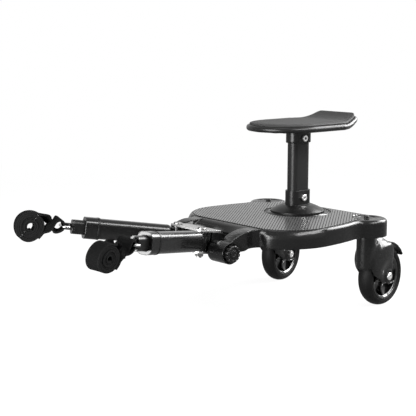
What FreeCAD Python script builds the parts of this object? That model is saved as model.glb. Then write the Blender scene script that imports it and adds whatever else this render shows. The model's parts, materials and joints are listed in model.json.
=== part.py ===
import FreeCAD, Part
import math
import os

# Ride-on board for the back of a pushchair: a deck on two swivel casters, a plug-in seat and two hitch arms.
# Millimetres, +Z up, -Y towards the pushchair, +X the board's left side.
# The origin is on the floor, in the middle of the rigid pieces' box.

V = FreeCAD.Vector
ORIGIN = V(0, 0, 0)
UP = V(0, 0, 1)
SIDEWAYS = V(1, 0, 0)
SIDES = ((1, "left"), (-1, "right"))

# General fits
overrun = 2.0
run_gap = 0.3
slide_gap = 0.35
shaft_gap = 0.05
seat_gap = 0.2

# Casters and wheels
stem_y = 183.574
caster_spacing = 229.2
caster_trail = 43.0
swivel_left = 6.55
swivel_right = 12.5
wheel_radius = 50.0
wheel_width = 25.4
tyre_depth = 13.2
tyre_crown = 5.0
rim_depth = 3.6
rim_width = 22.4
hub_radius = 14.0
hub_width = 24.6
spoke_count = 6
spoke_thickness = 4.2
spoke_width = 15.0
spoke_sweep = 30.0
spoke_bow_share = 0.375
bearing_radius = 11.0
bearing_width = 7.0
axle_radius = 4.0
axle_head_radius = 6.2
axle_head_height = 2.8
axle_nut_radius = 6.6
axle_nut_height = 5.0
well_gap = 3.6
well_side_gap = 1.2
cheek_thickness = 3.4
cheek_round = 5.0
hood_thickness = 4.2
hood_half = 13.4
hood_tail_angle = 31.0
hood_front_angle = 125.0
boss_radius = 12.5
boss_height = 1.4
stem_radius = 15.5
stem_foot_rise = 18.0
crown_trail = 26.0
crown_rise = 32.0
crown_radius = 34.5
kingpin_radius = 5.0
kingpin_head_radius = 8.5
kingpin_head_height = 5.0
kingpin_head_drop = 30.0
bush_wall = 2.5
thrust_thickness = 1.6
thrust_radius = 14.0
nut_radius = 8.0
nut_height = 7.0
cap_radius = 12.0
cap_height = 3.0
cap_nub_radius = 4.2
cap_nub_height = 3.2

# Deck
deck_clearance = 24.0
deck_depth = 28.0
deck_wall = 4.0
deck_skin = 4.5
deck_half_width = 140.0
deck_reach = 203.0
deck_tail = 27.0
lobe_radius = 33.0
lobe_start_angle = 61.0
lobe_blend = 9.0
rim_round = 6.0
rib_thickness = 2.4
rib_depth = 15.0
rib_pitch = 50.0
caster_boss_radius = 20.0
receiver_wall = 3.0
deck_side_shares = ((0.657, 1.0), (0.886, 0.857), (0.996, 0.63), (0.986, 0.468), (0.929, 0.222))

# Grip mat
mat_side_margin = 9.0
mat_front_margin = 6.0
mat_tail_margin = 10.0
mat_thickness = 2.6
mat_recess = 2.0
mat_cap_clear = 23.0
mat_ring_radius = 56.0
mat_gap = 0.25
mat_side_shares = ((0.56, 1.0), (0.875, 0.883), (1.012, 0.665), (0.995, 0.5), (0.925, 0.235), (0.885, 0.0))

# Front hinge
rod_reach = 57.0
rod_drop = 30.0
rod_radius = 5.0
rod_end = 3.0
knuckle_radius = 16.5
knuckle_inner = 41.6
knuckle_outer = 72.0
web_inner = 53.0
web_outer = 76.0
web_flare = 80.0
web_foot = 118.0
fascia_drop = 9.0
fascia_reach = 23.0
fascia_thickness = 4.0
friction_thickness = 1.2
knob_radius = 13.0
knob_length = 10.0
knob_notches = 12
knob_notch_radius = 2.4
knob_notch_share = 0.67
knob_collar_radius = 8.0
knob_collar_length = 1.5
knob_face_round = 1.6

# Hitch bracket
bracket_tilt = 8.8
bracket_half = 40.0
bracket_tail = 12.0
barrel_radius = 9.5
cheek_plate = 4.5
cheek_front = 8.6
back_web = 3.0
plate_thickness = 3.0
plate_gap = 30.0
plate_chamfer = 5.0
pivot_x = 28.8
pivot_forward = 21.0
arm_height = 11.5
pivot_radius = 4.0
pivot_head_radius = 7.0
pivot_head_height = 3.0
pivot_nut_radius = 6.5
pivot_nut_height = 5.0

# Hitch arms
arm_splay_left = 17.3
arm_splay_right = 22.3
eye_radius = 10.4
root_neck_width = 17.0
root_plug_length = 20.0
sleeve_start = 15.2
sleeve_end = 128.0
sleeve_width = 25.0
sleeve_tall = 31.0
sleeve_corner = 9.0
sleeve_wall = 2.4
ring_length = 3.0
ring_proud = 1.2
collar_end = 147.0
collar_proud = 0.9
tube_start = 45.0
tube_end = 169.0
tube_push_right = 5.5
tube_width = 16.0
tube_tall = 21.6
tube_corner = 6.0
tube_wall = 1.8
glide_length = 14.0
plug_depth = 14.0
plug_face = 2.4
lug_thickness = 7.0
lug_reach = 9.6
lug_height = 10.0
ring_wire_radius = 2.0
ring_hole_gap = 0.5
ring_span = 11.0
ring_straight = 20.0

# Hitch straps
strap_width = 25.0
strap_thickness = 2.3
strap_layer_gap = 0.6
strap_core_radius = 6.0
strap_loop_radius = 9.5
strap_fit = 0.4
strap_samples = 40
strap_droop_left = 13.0
strap_droop_right = -6.0
strap_leg_left = 18.0
strap_leg_right = 16.5
strap_run_left = 33.0
strap_run_right = 24.0
strap_roll_left = 21.5
strap_roll_right = 22.6

# Seat
post_forward = 43.0
post_width = 21.0
post_length = 38.6
post_corner = 8.5
post_wall = 2.2
socket_wall = 3.0
socket_height = 37.0
flange_radius = 45.0
flange_edge = 3.6
flange_shoulder_radius = 25.0
flange_rise = 13.0
flange_bulge_share = 0.42
spigot_width = 24.0
spigot_length = 41.0
spigot_depth = 23.0
spigot_corner = 9.0
spigot_gap = 0.3
post_foot_rise = 6.0
upper_socket_depth = 21.5
seat_rise = 137.5
pan_thickness = 10.5
pan_shell = 3.6
pan_half_width = 66.0
pan_front = 137.0
pan_front_corner = 71.0
pan_side_end = 2.0
pan_tail = 56.0
pan_tail_half = 44.0
pan_curl_start = 8.0
pan_curl_rise = 14.0
pan_round = 4.5
pan_corner = 12.0
pan_rim_width = 5.0
pan_rib_pitch = 40.0
pad_inset = 5.5
pad_thickness = 4.4
pad_lip_rise = 5.0
pad_round = 1.0
pad_seat_depth = 1.2
low_bolt_drop = 12.0
high_bolt_rise = 8.0
post_bolt_radius = 3.0
post_bolt_head_radius = 6.0
post_bolt_head_height = 3.6

deck_bottom = 2 * wheel_radius + deck_clearance
deck_top = deck_bottom + deck_depth
stem_foot = wheel_radius + stem_foot_rise
crown_height = wheel_radius + crown_rise
mat_half_width = deck_half_width - mat_side_margin
mat_reach = deck_reach - mat_front_margin
mat_tail = deck_tail - mat_tail_margin
rod_forward = deck_reach + rod_reach
rod_height = deck_top - rod_drop
socket_top = deck_top + socket_height
post_foot = deck_top + post_foot_rise
pan_bottom = deck_top + seat_rise
upper_socket_bottom = pan_bottom - upper_socket_depth
low_bolt_height = socket_top - low_bolt_drop
high_bolt_height = upper_socket_bottom + high_bolt_rise
half_spacing = caster_spacing / 2
wheel_half = wheel_width / 2
well_radius = wheel_radius + well_gap
well_half = wheel_half + well_side_gap
fork_half = well_half + cheek_thickness
rod_y = stem_y - rod_forward
post_y = stem_y - post_forward
plate_end_radius = bracket_half - pivot_x
plate_low = arm_height - plate_gap / 2
plate_high = arm_height + plate_gap / 2
nodes = {}


def deck_point(x, forward, z=0.0):
    """A point given by its distance to the side and forward of the caster stems."""
    return V(x, stem_y - forward, z)


def chain(points):
    """Edges through points; a pair (middle, end) is an arc, a single point a straight line."""
    edges = []
    here = points[0]
    for step in points[1:]:
        if isinstance(step, tuple):
            edges.append(Part.Arc(here, step[0], step[1]).toShape())
            here = step[1]
        else:
            edges.append(Part.LineSegment(here, step).toShape())
            here = step
    return edges


def prism(points, vector):
    """The solid swept by a closed outline along a vector."""
    return Part.Face(Part.Wire(chain(points))).extrude(vector)


def mirrored(shape):
    """The shape and its mirror image across the middle plane, as one solid."""
    return shape.fuse(shape.mirror(ORIGIN, SIDEWAYS)).removeSplitter()


def rounded(width, length, radius, place):
    """A rectangle with round corners, centred; place turns its two coordinates into a point."""
    a, b = width / 2, length / 2
    k = radius * (1 - math.sqrt(0.5))
    corners = ((1, 1), (-1, 1), (-1, -1), (1, -1))
    points = []
    for i, j in corners:
        ends = [(i * (a - radius), j * b), (i * a, j * (b - radius))]
        if i * j > 0:
            ends.reverse()
        middle = (i * (a - k), j * (b - k))
        points.append((ends[0], middle, ends[1]))
    outline = [place(*points[0][0])]
    for index, (first, middle, last) in enumerate(points):
        if index:
            outline.append(place(*first))
        outline.append((place(*middle), place(*last)))
    outline.append(outline[0])
    return Part.Face(Part.Wire(chain(outline)))


def along_x(width, tall, radius, start, end):
    """A bar of rounded section along X, for the arms' local frame."""
    return rounded(width, tall, radius, lambda a, b: V(start, a, b)).extrude(V(end - start, 0, 0))


def upright(width, length, radius, y, low, high):
    """A bar of rounded section standing at (0, y)."""
    return rounded(width, length, radius, lambda a, b: V(a, y + b, low)).extrude(V(0, 0, high - low))


def round_x(radius, start, end, y=0.0, z=0.0):
    """A cylinder along X."""
    return Part.makeCylinder(radius, end - start, V(start, y, z), SIDEWAYS)


def round_z(radius, low, high, x=0.0, y=0.0):
    """A cylinder along Z."""
    return Part.makeCylinder(radius, high - low, V(x, y, low), UP)


def hexagon(radius, low, high, centre, axis):
    """A hexagon prism along the X or Z axis through centre."""
    points = []
    for k in range(7):
        a, b = radius * math.cos(k * math.pi / 3), radius * math.sin(k * math.pi / 3)
        points.append(centre + (V(low, a, b) if axis == "x" else V(a, b, low)))
    step = V(high - low, 0, 0) if axis == "x" else V(0, 0, high - low)
    return prism(points, step)


def group(shapes):
    """Separate solids kept in one node."""
    return Part.makeCompound(shapes)


def edges_at(shape, height):
    """The edges of a shape that lie flat at one height."""
    flat = []
    for edge in shape.Edges:
        box = edge.BoundBox
        if abs(box.ZMin - height) < shaft_gap and abs(box.ZMax - height) < shaft_gap:
            flat.append(edge)
    return flat


def deck_outline(z):
    """The left half of the deck's outline, closed along the middle plane."""
    shares = [deck_point(a * deck_half_width, b * deck_reach, z) for a, b in deck_side_shares]
    start = math.radians(lobe_start_angle)
    lobe_front = deck_point(
        half_spacing + lobe_radius * math.cos(start), lobe_radius * math.sin(start), z)
    tail_step = math.sqrt(lobe_radius ** 2 - deck_tail ** 2)
    return [
        deck_point(0, deck_reach, z), shares[0], (shares[1], shares[2]), (shares[3], shares[4]),
        lobe_front,
        (deck_point(half_spacing + lobe_radius, 0, z), deck_point(half_spacing - tail_step, -deck_tail, z)),
        deck_point(0, -deck_tail, z), deck_point(0, deck_reach, z)]


def mat_solid(low, high, grow):
    """The mat's shape between two heights, grown sideways for its recess."""
    half = mat_half_width + grow
    reach = mat_reach + grow
    shares = [deck_point(a * half, b * reach, low) for a, b in mat_side_shares]
    tail = deck_point(shares[5].x, -mat_tail - grow, low)
    outline = [
        deck_point(0, reach, low), shares[0], (shares[1], shares[2]), (shares[3], shares[4]), shares[5],
        tail,
        deck_point(0, -mat_tail - grow, low), deck_point(0, reach, low)]
    solid = mirrored(prism(outline, V(0, 0, high - low)))
    for side, _ in SIDES:
        x = side * half_spacing
        solid = solid.cut(round_z(mat_cap_clear - grow, low - overrun, high + overrun, x, stem_y))
    return solid.cut(round_z(mat_ring_radius - grow, low - overrun, high + overrun, 0, post_y))


def knuckle(side):
    """A hinge knuckle: the barrel on the rod and the web that joins it to the deck."""
    barrel = round_x(knuckle_radius, knuckle_inner, web_outer, rod_y, rod_height)
    pocket = round_x(knob_radius + run_gap + shaft_gap, knuckle_outer, web_outer + overrun, rod_y, rod_height)
    front = rod_forward
    root = deck_reach - deck_wall
    swell = (web_outer + web_flare) / 2 - fascia_thickness
    low = deck_bottom - overrun
    plan = [
        deck_point(web_inner, root, low), deck_point(web_inner, front, low),
        deck_point(web_outer, front, low),
        deck_point(web_outer, deck_reach + fascia_reach, low),
        (deck_point(swell, deck_reach + lobe_blend, low), deck_point(web_flare, deck_reach - overrun, low)),
        deck_point(web_flare, root, low), deck_point(web_inner, root, low)]
    solid = prism(plan, V(0, 0, deck_depth + overrun))
    top = rod_height + knuckle_radius
    side_view = [
        deck_point(0, root - overrun, deck_bottom), deck_point(0, deck_reach + fascia_reach, deck_bottom),
        deck_point(0, front - knuckle_radius, web_foot), deck_point(0, front, web_foot),
        deck_point(0, front, top),
        (deck_point(0, front - knuckle_radius, top + deck_skin + deck_wall),
         deck_point(0, deck_reach + fascia_drop, deck_top - run_gap)),
        deck_point(0, root - overrun, deck_top - run_gap), deck_point(0, root - overrun, deck_bottom)]
    solid = solid.common(prism(side_view, V(web_flare + overrun, 0, 0)))
    solid = solid.fuse(barrel).cut(pocket)
    return solid if side > 0 else solid.mirror(ORIGIN, SIDEWAYS)


def build_deck():
    """The moulded deck with its ribs, caster bosses, seat receiver, front fascia and hinge knuckles."""
    solid = mirrored(prism(deck_outline(deck_bottom), V(0, 0, deck_depth)))
    sharp = []
    for edge in solid.Edges:
        box = edge.BoundBox
        near_lobe = abs(box.Center.x) > half_spacing / 2 and abs(box.Center.y - stem_y) < lobe_radius
        if box.ZLength > deck_depth / 2 and near_lobe:
            sharp.append(edge)
    solid = solid.makeFillet(lobe_blend, sharp)
    floor = [face for face in solid.Faces if abs(face.BoundBox.ZMax - deck_bottom) < shaft_gap][0]
    hollow = floor.makeOffset2D(-deck_wall).extrude(V(0, 0, deck_depth - deck_skin))
    solid = solid.makeFillet(rim_round, edges_at(solid, deck_top))
    solid = solid.cut(hollow)
    skin_low = deck_top - deck_skin
    additions = []
    for side, _ in SIDES:
        additions.append(round_z(caster_boss_radius, deck_bottom, skin_low, side * half_spacing, stem_y))
    additions.append(upright(
        spigot_width + 2 * (spigot_gap + receiver_wall), spigot_length + 2 * (spigot_gap + receiver_wall),
        spigot_corner + receiver_wall, post_y, deck_bottom, skin_low))
    rib_low = skin_low - rib_depth
    for k in range(-2, 3):
        rib = Part.makeBox(rib_thickness, deck_reach + deck_tail, rib_depth)
        rib.translate(deck_point(k * rib_pitch - rib_thickness / 2, deck_reach, rib_low))
        additions.append(rib.common(hollow))
    for k in range(4):
        rib = Part.makeBox(2 * deck_half_width, rib_thickness, rib_depth)
        rib.translate(deck_point(-deck_half_width, k * rib_pitch + rib_thickness / 2, rib_low))
        additions.append(rib.common(hollow))
    lip = [
        deck_point(-web_inner, deck_reach - deck_wall, deck_top - run_gap),
        deck_point(-web_inner, deck_reach + overrun, deck_top - run_gap),
        deck_point(-web_inner, deck_reach + fascia_reach, deck_top - fascia_drop),
        deck_point(-web_inner, deck_reach + fascia_reach, deck_top - fascia_drop - fascia_thickness),
        deck_point(-web_inner, deck_reach, deck_top - deck_skin),
        deck_point(-web_inner, deck_reach - deck_wall, deck_top - deck_skin),
        deck_point(-web_inner, deck_reach - deck_wall, deck_top - run_gap)]
    additions.append(prism(lip, V(2 * web_inner, 0, 0)))
    additions += [knuckle(side) for side, _ in SIDES]
    solid = solid.multiFuse(additions)
    cuts = [mat_solid(deck_top - mat_recess, deck_top + overrun, mat_gap)]
    cuts.append(upright(
        spigot_width + 2 * spigot_gap, spigot_length + 2 * spigot_gap, spigot_corner + spigot_gap, post_y,
        deck_bottom - overrun, deck_top + overrun))
    cuts.append(round_x(rod_radius + shaft_gap, -web_outer - overrun, web_outer + overrun, rod_y, rod_height))
    for side, _ in SIDES:
        x = side * half_spacing
        cuts.append(round_z(kingpin_radius + shaft_gap, deck_bottom - overrun, deck_top + overrun, x, stem_y))
        cuts.append(round_z(
            nut_radius + run_gap, deck_top - cap_height - nut_height, deck_top + overrun, x, stem_y))
        cuts.append(round_z(cap_radius + shaft_gap, deck_top - cap_height, deck_top + overrun, x, stem_y))
    for tool in cuts:
        solid = solid.cut(tool)
    nodes["deck_shell"] = solid.removeSplitter()
    nodes["grip_mat"] = mat_solid(deck_top - mat_recess, deck_top - mat_recess + mat_thickness, 0.0)


def build_swivels():
    """What holds each caster to the deck: kingpin, nut, thrust washer and cover cap."""
    pins, nuts, washers, caps = [], [], [], []
    nut_low = deck_top - cap_height - nut_height
    head_top = deck_bottom - kingpin_head_drop
    head_low = head_top - kingpin_head_height
    for side, _ in SIDES:
        x = side * half_spacing
        centre = V(x, stem_y, 0)
        pin = round_z(kingpin_radius, head_low, nut_low + nut_height - run_gap, x, stem_y)
        pins.append(pin.fuse(round_z(kingpin_head_radius, head_low, head_top, x, stem_y)))
        nut = hexagon(nut_radius, nut_low, nut_low + nut_height, centre, "z")
        nuts.append(nut.cut(round_z(kingpin_radius + shaft_gap, nut_low, nut_low + nut_height, x, stem_y)))
        washer = round_z(thrust_radius, deck_bottom - thrust_thickness, deck_bottom, x, stem_y)
        washers.append(washer.cut(round_z(
            kingpin_radius + shaft_gap, deck_bottom - thrust_thickness, deck_bottom, x, stem_y)))
        cap = round_z(cap_radius, deck_top - cap_height, deck_top, x, stem_y)
        nub = round_z(cap_nub_radius, deck_top, deck_top + cap_nub_height, x, stem_y)
        nub = nub.makeFillet(cap_nub_height / 2, edges_at(nub, deck_top + cap_nub_height))
        caps.append(cap.fuse(nub).removeSplitter())
    nodes["swivel_kingpins"] = group(pins)
    nodes["swivel_nuts"] = group(nuts)
    nodes["thrust_washers"] = group(washers)
    nodes["swivel_caps"] = group(caps)


def polar(radius, degrees, x=0.0):
    """A point of the wheel's plane about the axle, at x along it."""
    a = math.radians(degrees)
    return V(x, caster_trail + radius * math.cos(a), wheel_radius + radius * math.sin(a))


def turned(outline):
    """A ring turned about the axle from an outline of (x, radius) points."""
    def spot(pair):
        return V(pair[0], caster_trail, wheel_radius + pair[1])
    points = []
    for step in outline:
        is_arc = isinstance(step[0], tuple)
        points.append((spot(step[0]), spot(step[1])) if is_arc else spot(step))
    face = Part.Face(Part.Wire(chain(points)))
    return face.revolve(V(0, caster_trail, wheel_radius), SIDEWAYS, 360)


def cheek_outline(x):
    """The teardrop side of a fork: a crown round and a boss round joined by their two outer tangents."""
    across = caster_trail - crown_trail
    down = wheel_radius - crown_height
    apart = math.hypot(across, down)
    lean = math.atan2(down, across)
    spread = math.acos((crown_radius - boss_radius) / apart)

    def spot(trail, height, radius, angle):
        return V(x, trail + radius * math.cos(angle), height + radius * math.sin(angle))

    rear, front = lean + spread, lean - spread
    far_side = lean + math.pi
    crown = [spot(crown_trail, crown_height, crown_radius, a) for a in (rear, far_side, front)]
    boss = [spot(caster_trail, wheel_radius, boss_radius, a) for a in (front, lean, rear)]
    return [crown[0], (crown[1], crown[2]), boss[0], (boss[1], boss[2]), crown[0]]


def caster_fork():
    """The fork in the caster's local frame: stem, crown, hood over the wheel, two cheeks and axle bosses."""
    body = prism(cheek_outline(-fork_half), V(2 * fork_half, 0, 0))
    outer = [e for e in body.Edges if e.BoundBox.XLength < shaft_gap]
    body = body.makeFillet(cheek_round, outer)
    hood_radius = well_radius + hood_thickness
    far = 2 * hood_radius
    wedge = [
        polar(0, 0, -hood_half), polar(far, hood_tail_angle, -hood_half),
        polar(far, (hood_tail_angle + hood_front_angle) / 2, -hood_half),
        polar(far, hood_front_angle, -hood_half), polar(0, 0, -hood_half)]
    hood = round_x(hood_radius, -hood_half, hood_half, caster_trail, wheel_radius)
    hood = hood.common(prism(wedge, V(2 * hood_half, 0, 0)))
    stem_top = deck_bottom - thrust_thickness - run_gap
    stem = round_z(stem_radius, stem_foot, stem_top)
    fork = body.multiFuse([hood, stem])
    fork = fork.cut(round_x(well_radius, -well_half, well_half, caster_trail, wheel_radius))
    face = fork_half + boss_height
    for side, _ in SIDES:
        ends = sorted((side * (well_half + boss_height), side * face))
        fork = fork.fuse(round_x(boss_radius - boss_height, ends[0], ends[1], caster_trail, wheel_radius))
    fork = fork.cut(round_x(
        axle_radius + shaft_gap, -face - overrun, face + overrun, caster_trail, wheel_radius))
    fork = fork.cut(round_z(kingpin_radius + bush_wall, stem_foot - overrun, stem_top + overrun))
    head_top = deck_bottom - kingpin_head_drop
    fork = fork.cut(round_z(kingpin_head_radius + run_gap, stem_foot - overrun, head_top + run_gap))
    return fork.removeSplitter()


def wheel_hub():
    """Rim, curved spokes and bearing boss."""
    rim_outer = wheel_radius - tyre_depth
    rim_inner = rim_outer - rim_depth
    half = rim_width / 2
    hub = turned([
        (-half, rim_inner), (half, rim_inner), (half, rim_outer), (-half, rim_outer), (-half, rim_inner)])
    boss = round_x(hub_radius, -hub_width / 2, hub_width / 2, caster_trail, wheel_radius)
    spokes = []
    inner = hub_radius - rim_depth / 2
    middle = (hub_radius + rim_inner) / 2
    outer = rim_inner + rim_depth / 2
    for k in range(spoke_count):
        turn = k * 360 / spoke_count
        lean = [0, spoke_sweep * spoke_bow_share, spoke_sweep]
        wide = [math.degrees(spoke_thickness / r) for r in (inner, middle, outer)]
        x = -spoke_width / 2
        front = [polar(r, turn + a, x) for r, a in zip((inner, middle, outer), lean)]
        back = [polar(r, turn + a + w, x) for r, a, w in zip((inner, middle, outer), lean, wide)]
        outline = [front[0], (front[1], front[2]), back[2], (back[1], back[0]), front[0]]
        spokes.append(prism(outline, V(spoke_width, 0, 0)))
    hub = hub.multiFuse([boss, *spokes])
    hub = hub.cut(round_x(axle_radius + rim_depth, -hub_width, hub_width, caster_trail, wheel_radius))
    for side, _ in SIDES:
        ends = sorted((side * (hub_width / 2 - bearing_width), side * (hub_width / 2 + overrun)))
        hub = hub.cut(round_x(bearing_radius, ends[0], ends[1], caster_trail, wheel_radius))
    return hub.removeSplitter()


def tyre():
    """A soft tyre with a round crown."""
    inner = wheel_radius - tyre_depth
    half = wheel_half
    seat = rim_width / 2
    shoulder = wheel_radius - tyre_crown
    return turned([
        (-seat, inner), (seat, inner), (half, inner + rim_depth), (half, shoulder),
        ((0, wheel_radius), (-half, shoulder)), (-half, inner + rim_depth), (-seat, inner)])


def build_casters():
    """Two swivel casters, each turned to its own angle."""
    fork = caster_fork()
    stem_top = deck_bottom - thrust_thickness - run_gap
    head_top = deck_bottom - kingpin_head_drop
    bush = round_z(kingpin_radius + bush_wall, head_top + run_gap, stem_top)
    bush = bush.cut(round_z(kingpin_radius + shaft_gap, head_top, stem_top + overrun))
    bearing_rings = []
    for side, _ in SIDES:
        ends = sorted((side * (hub_width / 2 - bearing_width), side * hub_width / 2))
        ring = round_x(bearing_radius, ends[0], ends[1], caster_trail, wheel_radius)
        bearing_rings.append(ring.cut(round_x(
            axle_radius + shaft_gap, ends[0] - overrun, ends[1] + overrun, caster_trail, wheel_radius)))
    face = fork_half + boss_height
    centre = V(0, caster_trail, wheel_radius)
    for side, name in SIDES:
        swivel = swivel_left if side > 0 else swivel_right
        place = FreeCAD.Placement(V(side * half_spacing, stem_y, 0), FreeCAD.Rotation(UP, swivel))
        head = sorted((side * face, side * (face + axle_head_height)))
        shank = sorted((side * face, -side * (face + axle_nut_height)))
        axle = round_x(axle_radius, shank[0], shank[1], caster_trail, wheel_radius)
        axle = axle.fuse(hexagon(axle_head_radius, head[0], head[1], centre, "x")).removeSplitter()
        seat = sorted((-side * face, -side * (face + axle_nut_height)))
        nut = hexagon(axle_nut_radius, seat[0], seat[1], centre, "x")
        nut = nut.cut(round_x(
            axle_radius + shaft_gap, seat[0] - overrun, seat[1] + overrun, caster_trail, wheel_radius))
        pieces = {
            "caster_fork": fork, "stem_bush": bush, "axle_bolt": axle, "axle_nut": nut, "tyre": tyre(),
            "wheel_hub": wheel_hub(), "wheel_bearings": group(bearing_rings)}
        for piece, shape in pieces.items():
            shape = shape.copy()
            shape.Placement = place.multiply(shape.Placement)
            nodes[f"{piece}_{name}"] = shape


def build_hinge():
    """The cross rod, its friction washers and the two clamp knobs."""
    rod_half = knuckle_outer + knob_collar_length + knob_length - rod_end
    nodes["hinge_rod"] = round_x(rod_radius, -rod_half, rod_half, rod_y, rod_height)
    washers = []
    for side, name in SIDES:
        near_face = bracket_half + run_gap / 2
        ends = sorted((side * near_face, side * (near_face + friction_thickness)))
        washer = round_x(knuckle_radius - overrun, ends[0], ends[1], rod_y, rod_height)
        washers.append(washer.cut(round_x(
            rod_radius + shaft_gap, ends[0] - overrun, ends[1] + overrun, rod_y, rod_height)))
        start = knuckle_outer + run_gap
        grip_start = start + knob_collar_length
        knob = round_x(knob_radius, grip_start, grip_start + knob_length)
        rim = [e for e in knob.Edges if abs(e.BoundBox.XMin - grip_start - knob_length) < shaft_gap]
        knob = knob.makeFillet(knob_face_round, rim)
        for k in range(knob_notches):
            a = 2 * math.pi * k / knob_notches
            reach = knob_radius + knob_notch_radius * (1 - knob_notch_share)
            knob = knob.cut(round_x(
                knob_notch_radius, grip_start - overrun, grip_start + knob_length + overrun,
                reach * math.cos(a), reach * math.sin(a)))
        knob = knob.fuse(round_x(knob_collar_radius, start, grip_start))
        knob = knob.cut(round_x(rod_radius + shaft_gap, start - overrun, rod_half + run_gap))
        knob = knob.removeSplitter()
        if side < 0:
            knob = knob.mirror(ORIGIN, SIDEWAYS)
        knob.translate(V(0, rod_y, rod_height))
        nodes[f"hinge_knob_{name}"] = knob
    nodes["friction_washers"] = group(washers)


def bracket_place():
    """From the bracket's frame, on the rod with -Y forward, to the board."""
    return FreeCAD.Placement(V(0, rod_y, rod_height), FreeCAD.Rotation(SIDEWAYS, -bracket_tilt))


def plate(low, tail):
    """A bracket plate with round ends over the arm pivots and chamfered rear corners."""
    r = plate_end_radius
    slope = math.sqrt(0.5)
    half = bracket_half
    tip = pivot_x + r
    chamfer = min(plate_chamfer, (tail + cheek_front) / 2)
    outline = [
        V(half - chamfer, tail, low), V(half, tail - chamfer, low), V(half, -cheek_front, low),
        V(tip, -pivot_forward, low),
        (V(pivot_x + r * slope, -pivot_forward - r * slope, low), V(pivot_x, -pivot_forward - r, low)),
        V(-pivot_x, -pivot_forward - r, low),
        (V(-pivot_x - r * slope, -pivot_forward - r * slope, low), V(-tip, -pivot_forward, low)),
        V(-half, -cheek_front, low), V(-half, tail - chamfer, low), V(-half + chamfer, tail, low),
        V(half - chamfer, tail, low)]
    solid = prism(outline, V(0, 0, plate_thickness))
    for side, _ in SIDES:
        solid = solid.cut(round_z(
            pivot_radius + shaft_gap, low - overrun, low + plate_thickness + overrun,
            side * pivot_x, -pivot_forward))
    return solid


def build_bracket():
    """The tilting bracket: a barrel on the rod with cheeks, two steel plates and the arm pivots."""
    barrel = round_x(barrel_radius, -bracket_half, bracket_half)
    tall = plate_high - plate_low
    parts = []
    for side, _ in SIDES:
        start = min(side * bracket_half, side * (bracket_half - cheek_plate))
        cheek = Part.makeBox(cheek_plate, bracket_tail + cheek_front, tall)
        cheek.translate(V(start, -cheek_front, plate_low))
        parts.append(cheek)
    web = Part.makeBox(2 * bracket_half, back_web, tall)
    web.translate(V(-bracket_half, bracket_tail - back_web, plate_low))
    parts.append(web)
    block = barrel.multiFuse(parts)
    lowest = Part.makeBox(2 * bracket_half + 2 * overrun, 2 * barrel_radius + overrun, barrel_radius)
    lowest.translate(V(-bracket_half - overrun, -barrel_radius - overrun / 2, plate_low - barrel_radius))
    block = block.cut(lowest)
    block = block.cut(round_x(rod_radius + shaft_gap, -bracket_half - overrun, bracket_half + overrun))
    bolts, nuts = [], []
    for side, _ in SIDES:
        x, y = side * pivot_x, -pivot_forward
        centre = V(x, y, 0)
        low = plate_low - plate_thickness
        high = plate_high + plate_thickness
        bolt = round_z(pivot_radius, low - pivot_nut_height - overrun, high, x, y)
        head = round_z(pivot_head_radius, high, high + pivot_head_height, x, y)
        head = head.makeFillet(pivot_head_height / 2, edges_at(head, high + pivot_head_height))
        bolts.append(bolt.fuse(head).removeSplitter())
        nut = hexagon(pivot_nut_radius, low - pivot_nut_height, low, centre, "z")
        nuts.append(nut.cut(round_z(
            pivot_radius + shaft_gap, low - pivot_nut_height - overrun, low + overrun, x, y)))
    pieces = {
        "hitch_bracket": block.removeSplitter(), "bracket_top_plate": plate(plate_high, bracket_tail),
        "bracket_bottom_plate": plate(plate_low - plate_thickness, -rod_radius - run_gap),
        "arm_pivot_bolts": group(bolts), "arm_pivot_nuts": group(nuts)}
    for name, shape in pieces.items():
        shape.Placement = bracket_place().multiply(shape.Placement)
        nodes[name] = shape


def arm_place(side):
    """From an arm's frame, on its pivot with +X along the arm, to the board."""
    splay = arm_splay_left if side > 0 else arm_splay_right
    turn = FreeCAD.Rotation(UP, -90 + side * splay)
    local = FreeCAD.Placement(V(side * pivot_x, -pivot_forward, arm_height), turn)
    return bracket_place().multiply(local)


def oval_ring():
    """A steel ring of two bars and two half rounds, in the arm's level plane."""
    near = tube_end + plug_face + lug_reach - ring_wire_radius - 2 * ring_hole_gap - ring_wire_radius
    far = near + ring_span
    half = ring_straight / 2
    pieces = []
    for x in (near, far):
        pieces.append(Part.makeCylinder(ring_wire_radius, ring_straight, V(x, -half, 0), V(0, 1, 0)))
    middle = (near + far) / 2
    for end in (-half, half):
        disc = Part.Face(Part.Wire(Part.makeCircle(ring_wire_radius, V(near, end, 0), V(0, 1, 0))))
        pieces.append(disc.revolve(V(middle, end, 0), V(0, 0, 1), math.copysign(180, -end)))
    return pieces[0].multiFuse(pieces[1:]).removeSplitter(), near, far


def band(outer, inner, width):
    """A flat band between two edge chains in the strap's plane, as wide as the webbing."""
    start = Part.LineSegment(inner[0].Vertexes[0].Point, outer[0].Vertexes[0].Point).toShape()
    finish = Part.LineSegment(outer[-1].Vertexes[-1].Point, inner[-1].Vertexes[-1].Point).toShape()
    outline = Part.Wire(Part.__sortEdges__([start, *outer, finish, *inner]))
    solid = Part.Face(outline).extrude(V(0, width, 0))
    solid.translate(V(0, -width / 2, 0))
    return solid


def least_gap(inner, outer):
    """The least distance from the inner face of a half turn to the outer face of the one a turn within it."""
    gaps = []
    for here, within in zip(inner, outer[2:]):
        for point in here.discretize(strap_samples):
            gaps += [point.distanceToPoint(other) for other in within.discretize(strap_samples)]
    return min(gaps)


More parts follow.
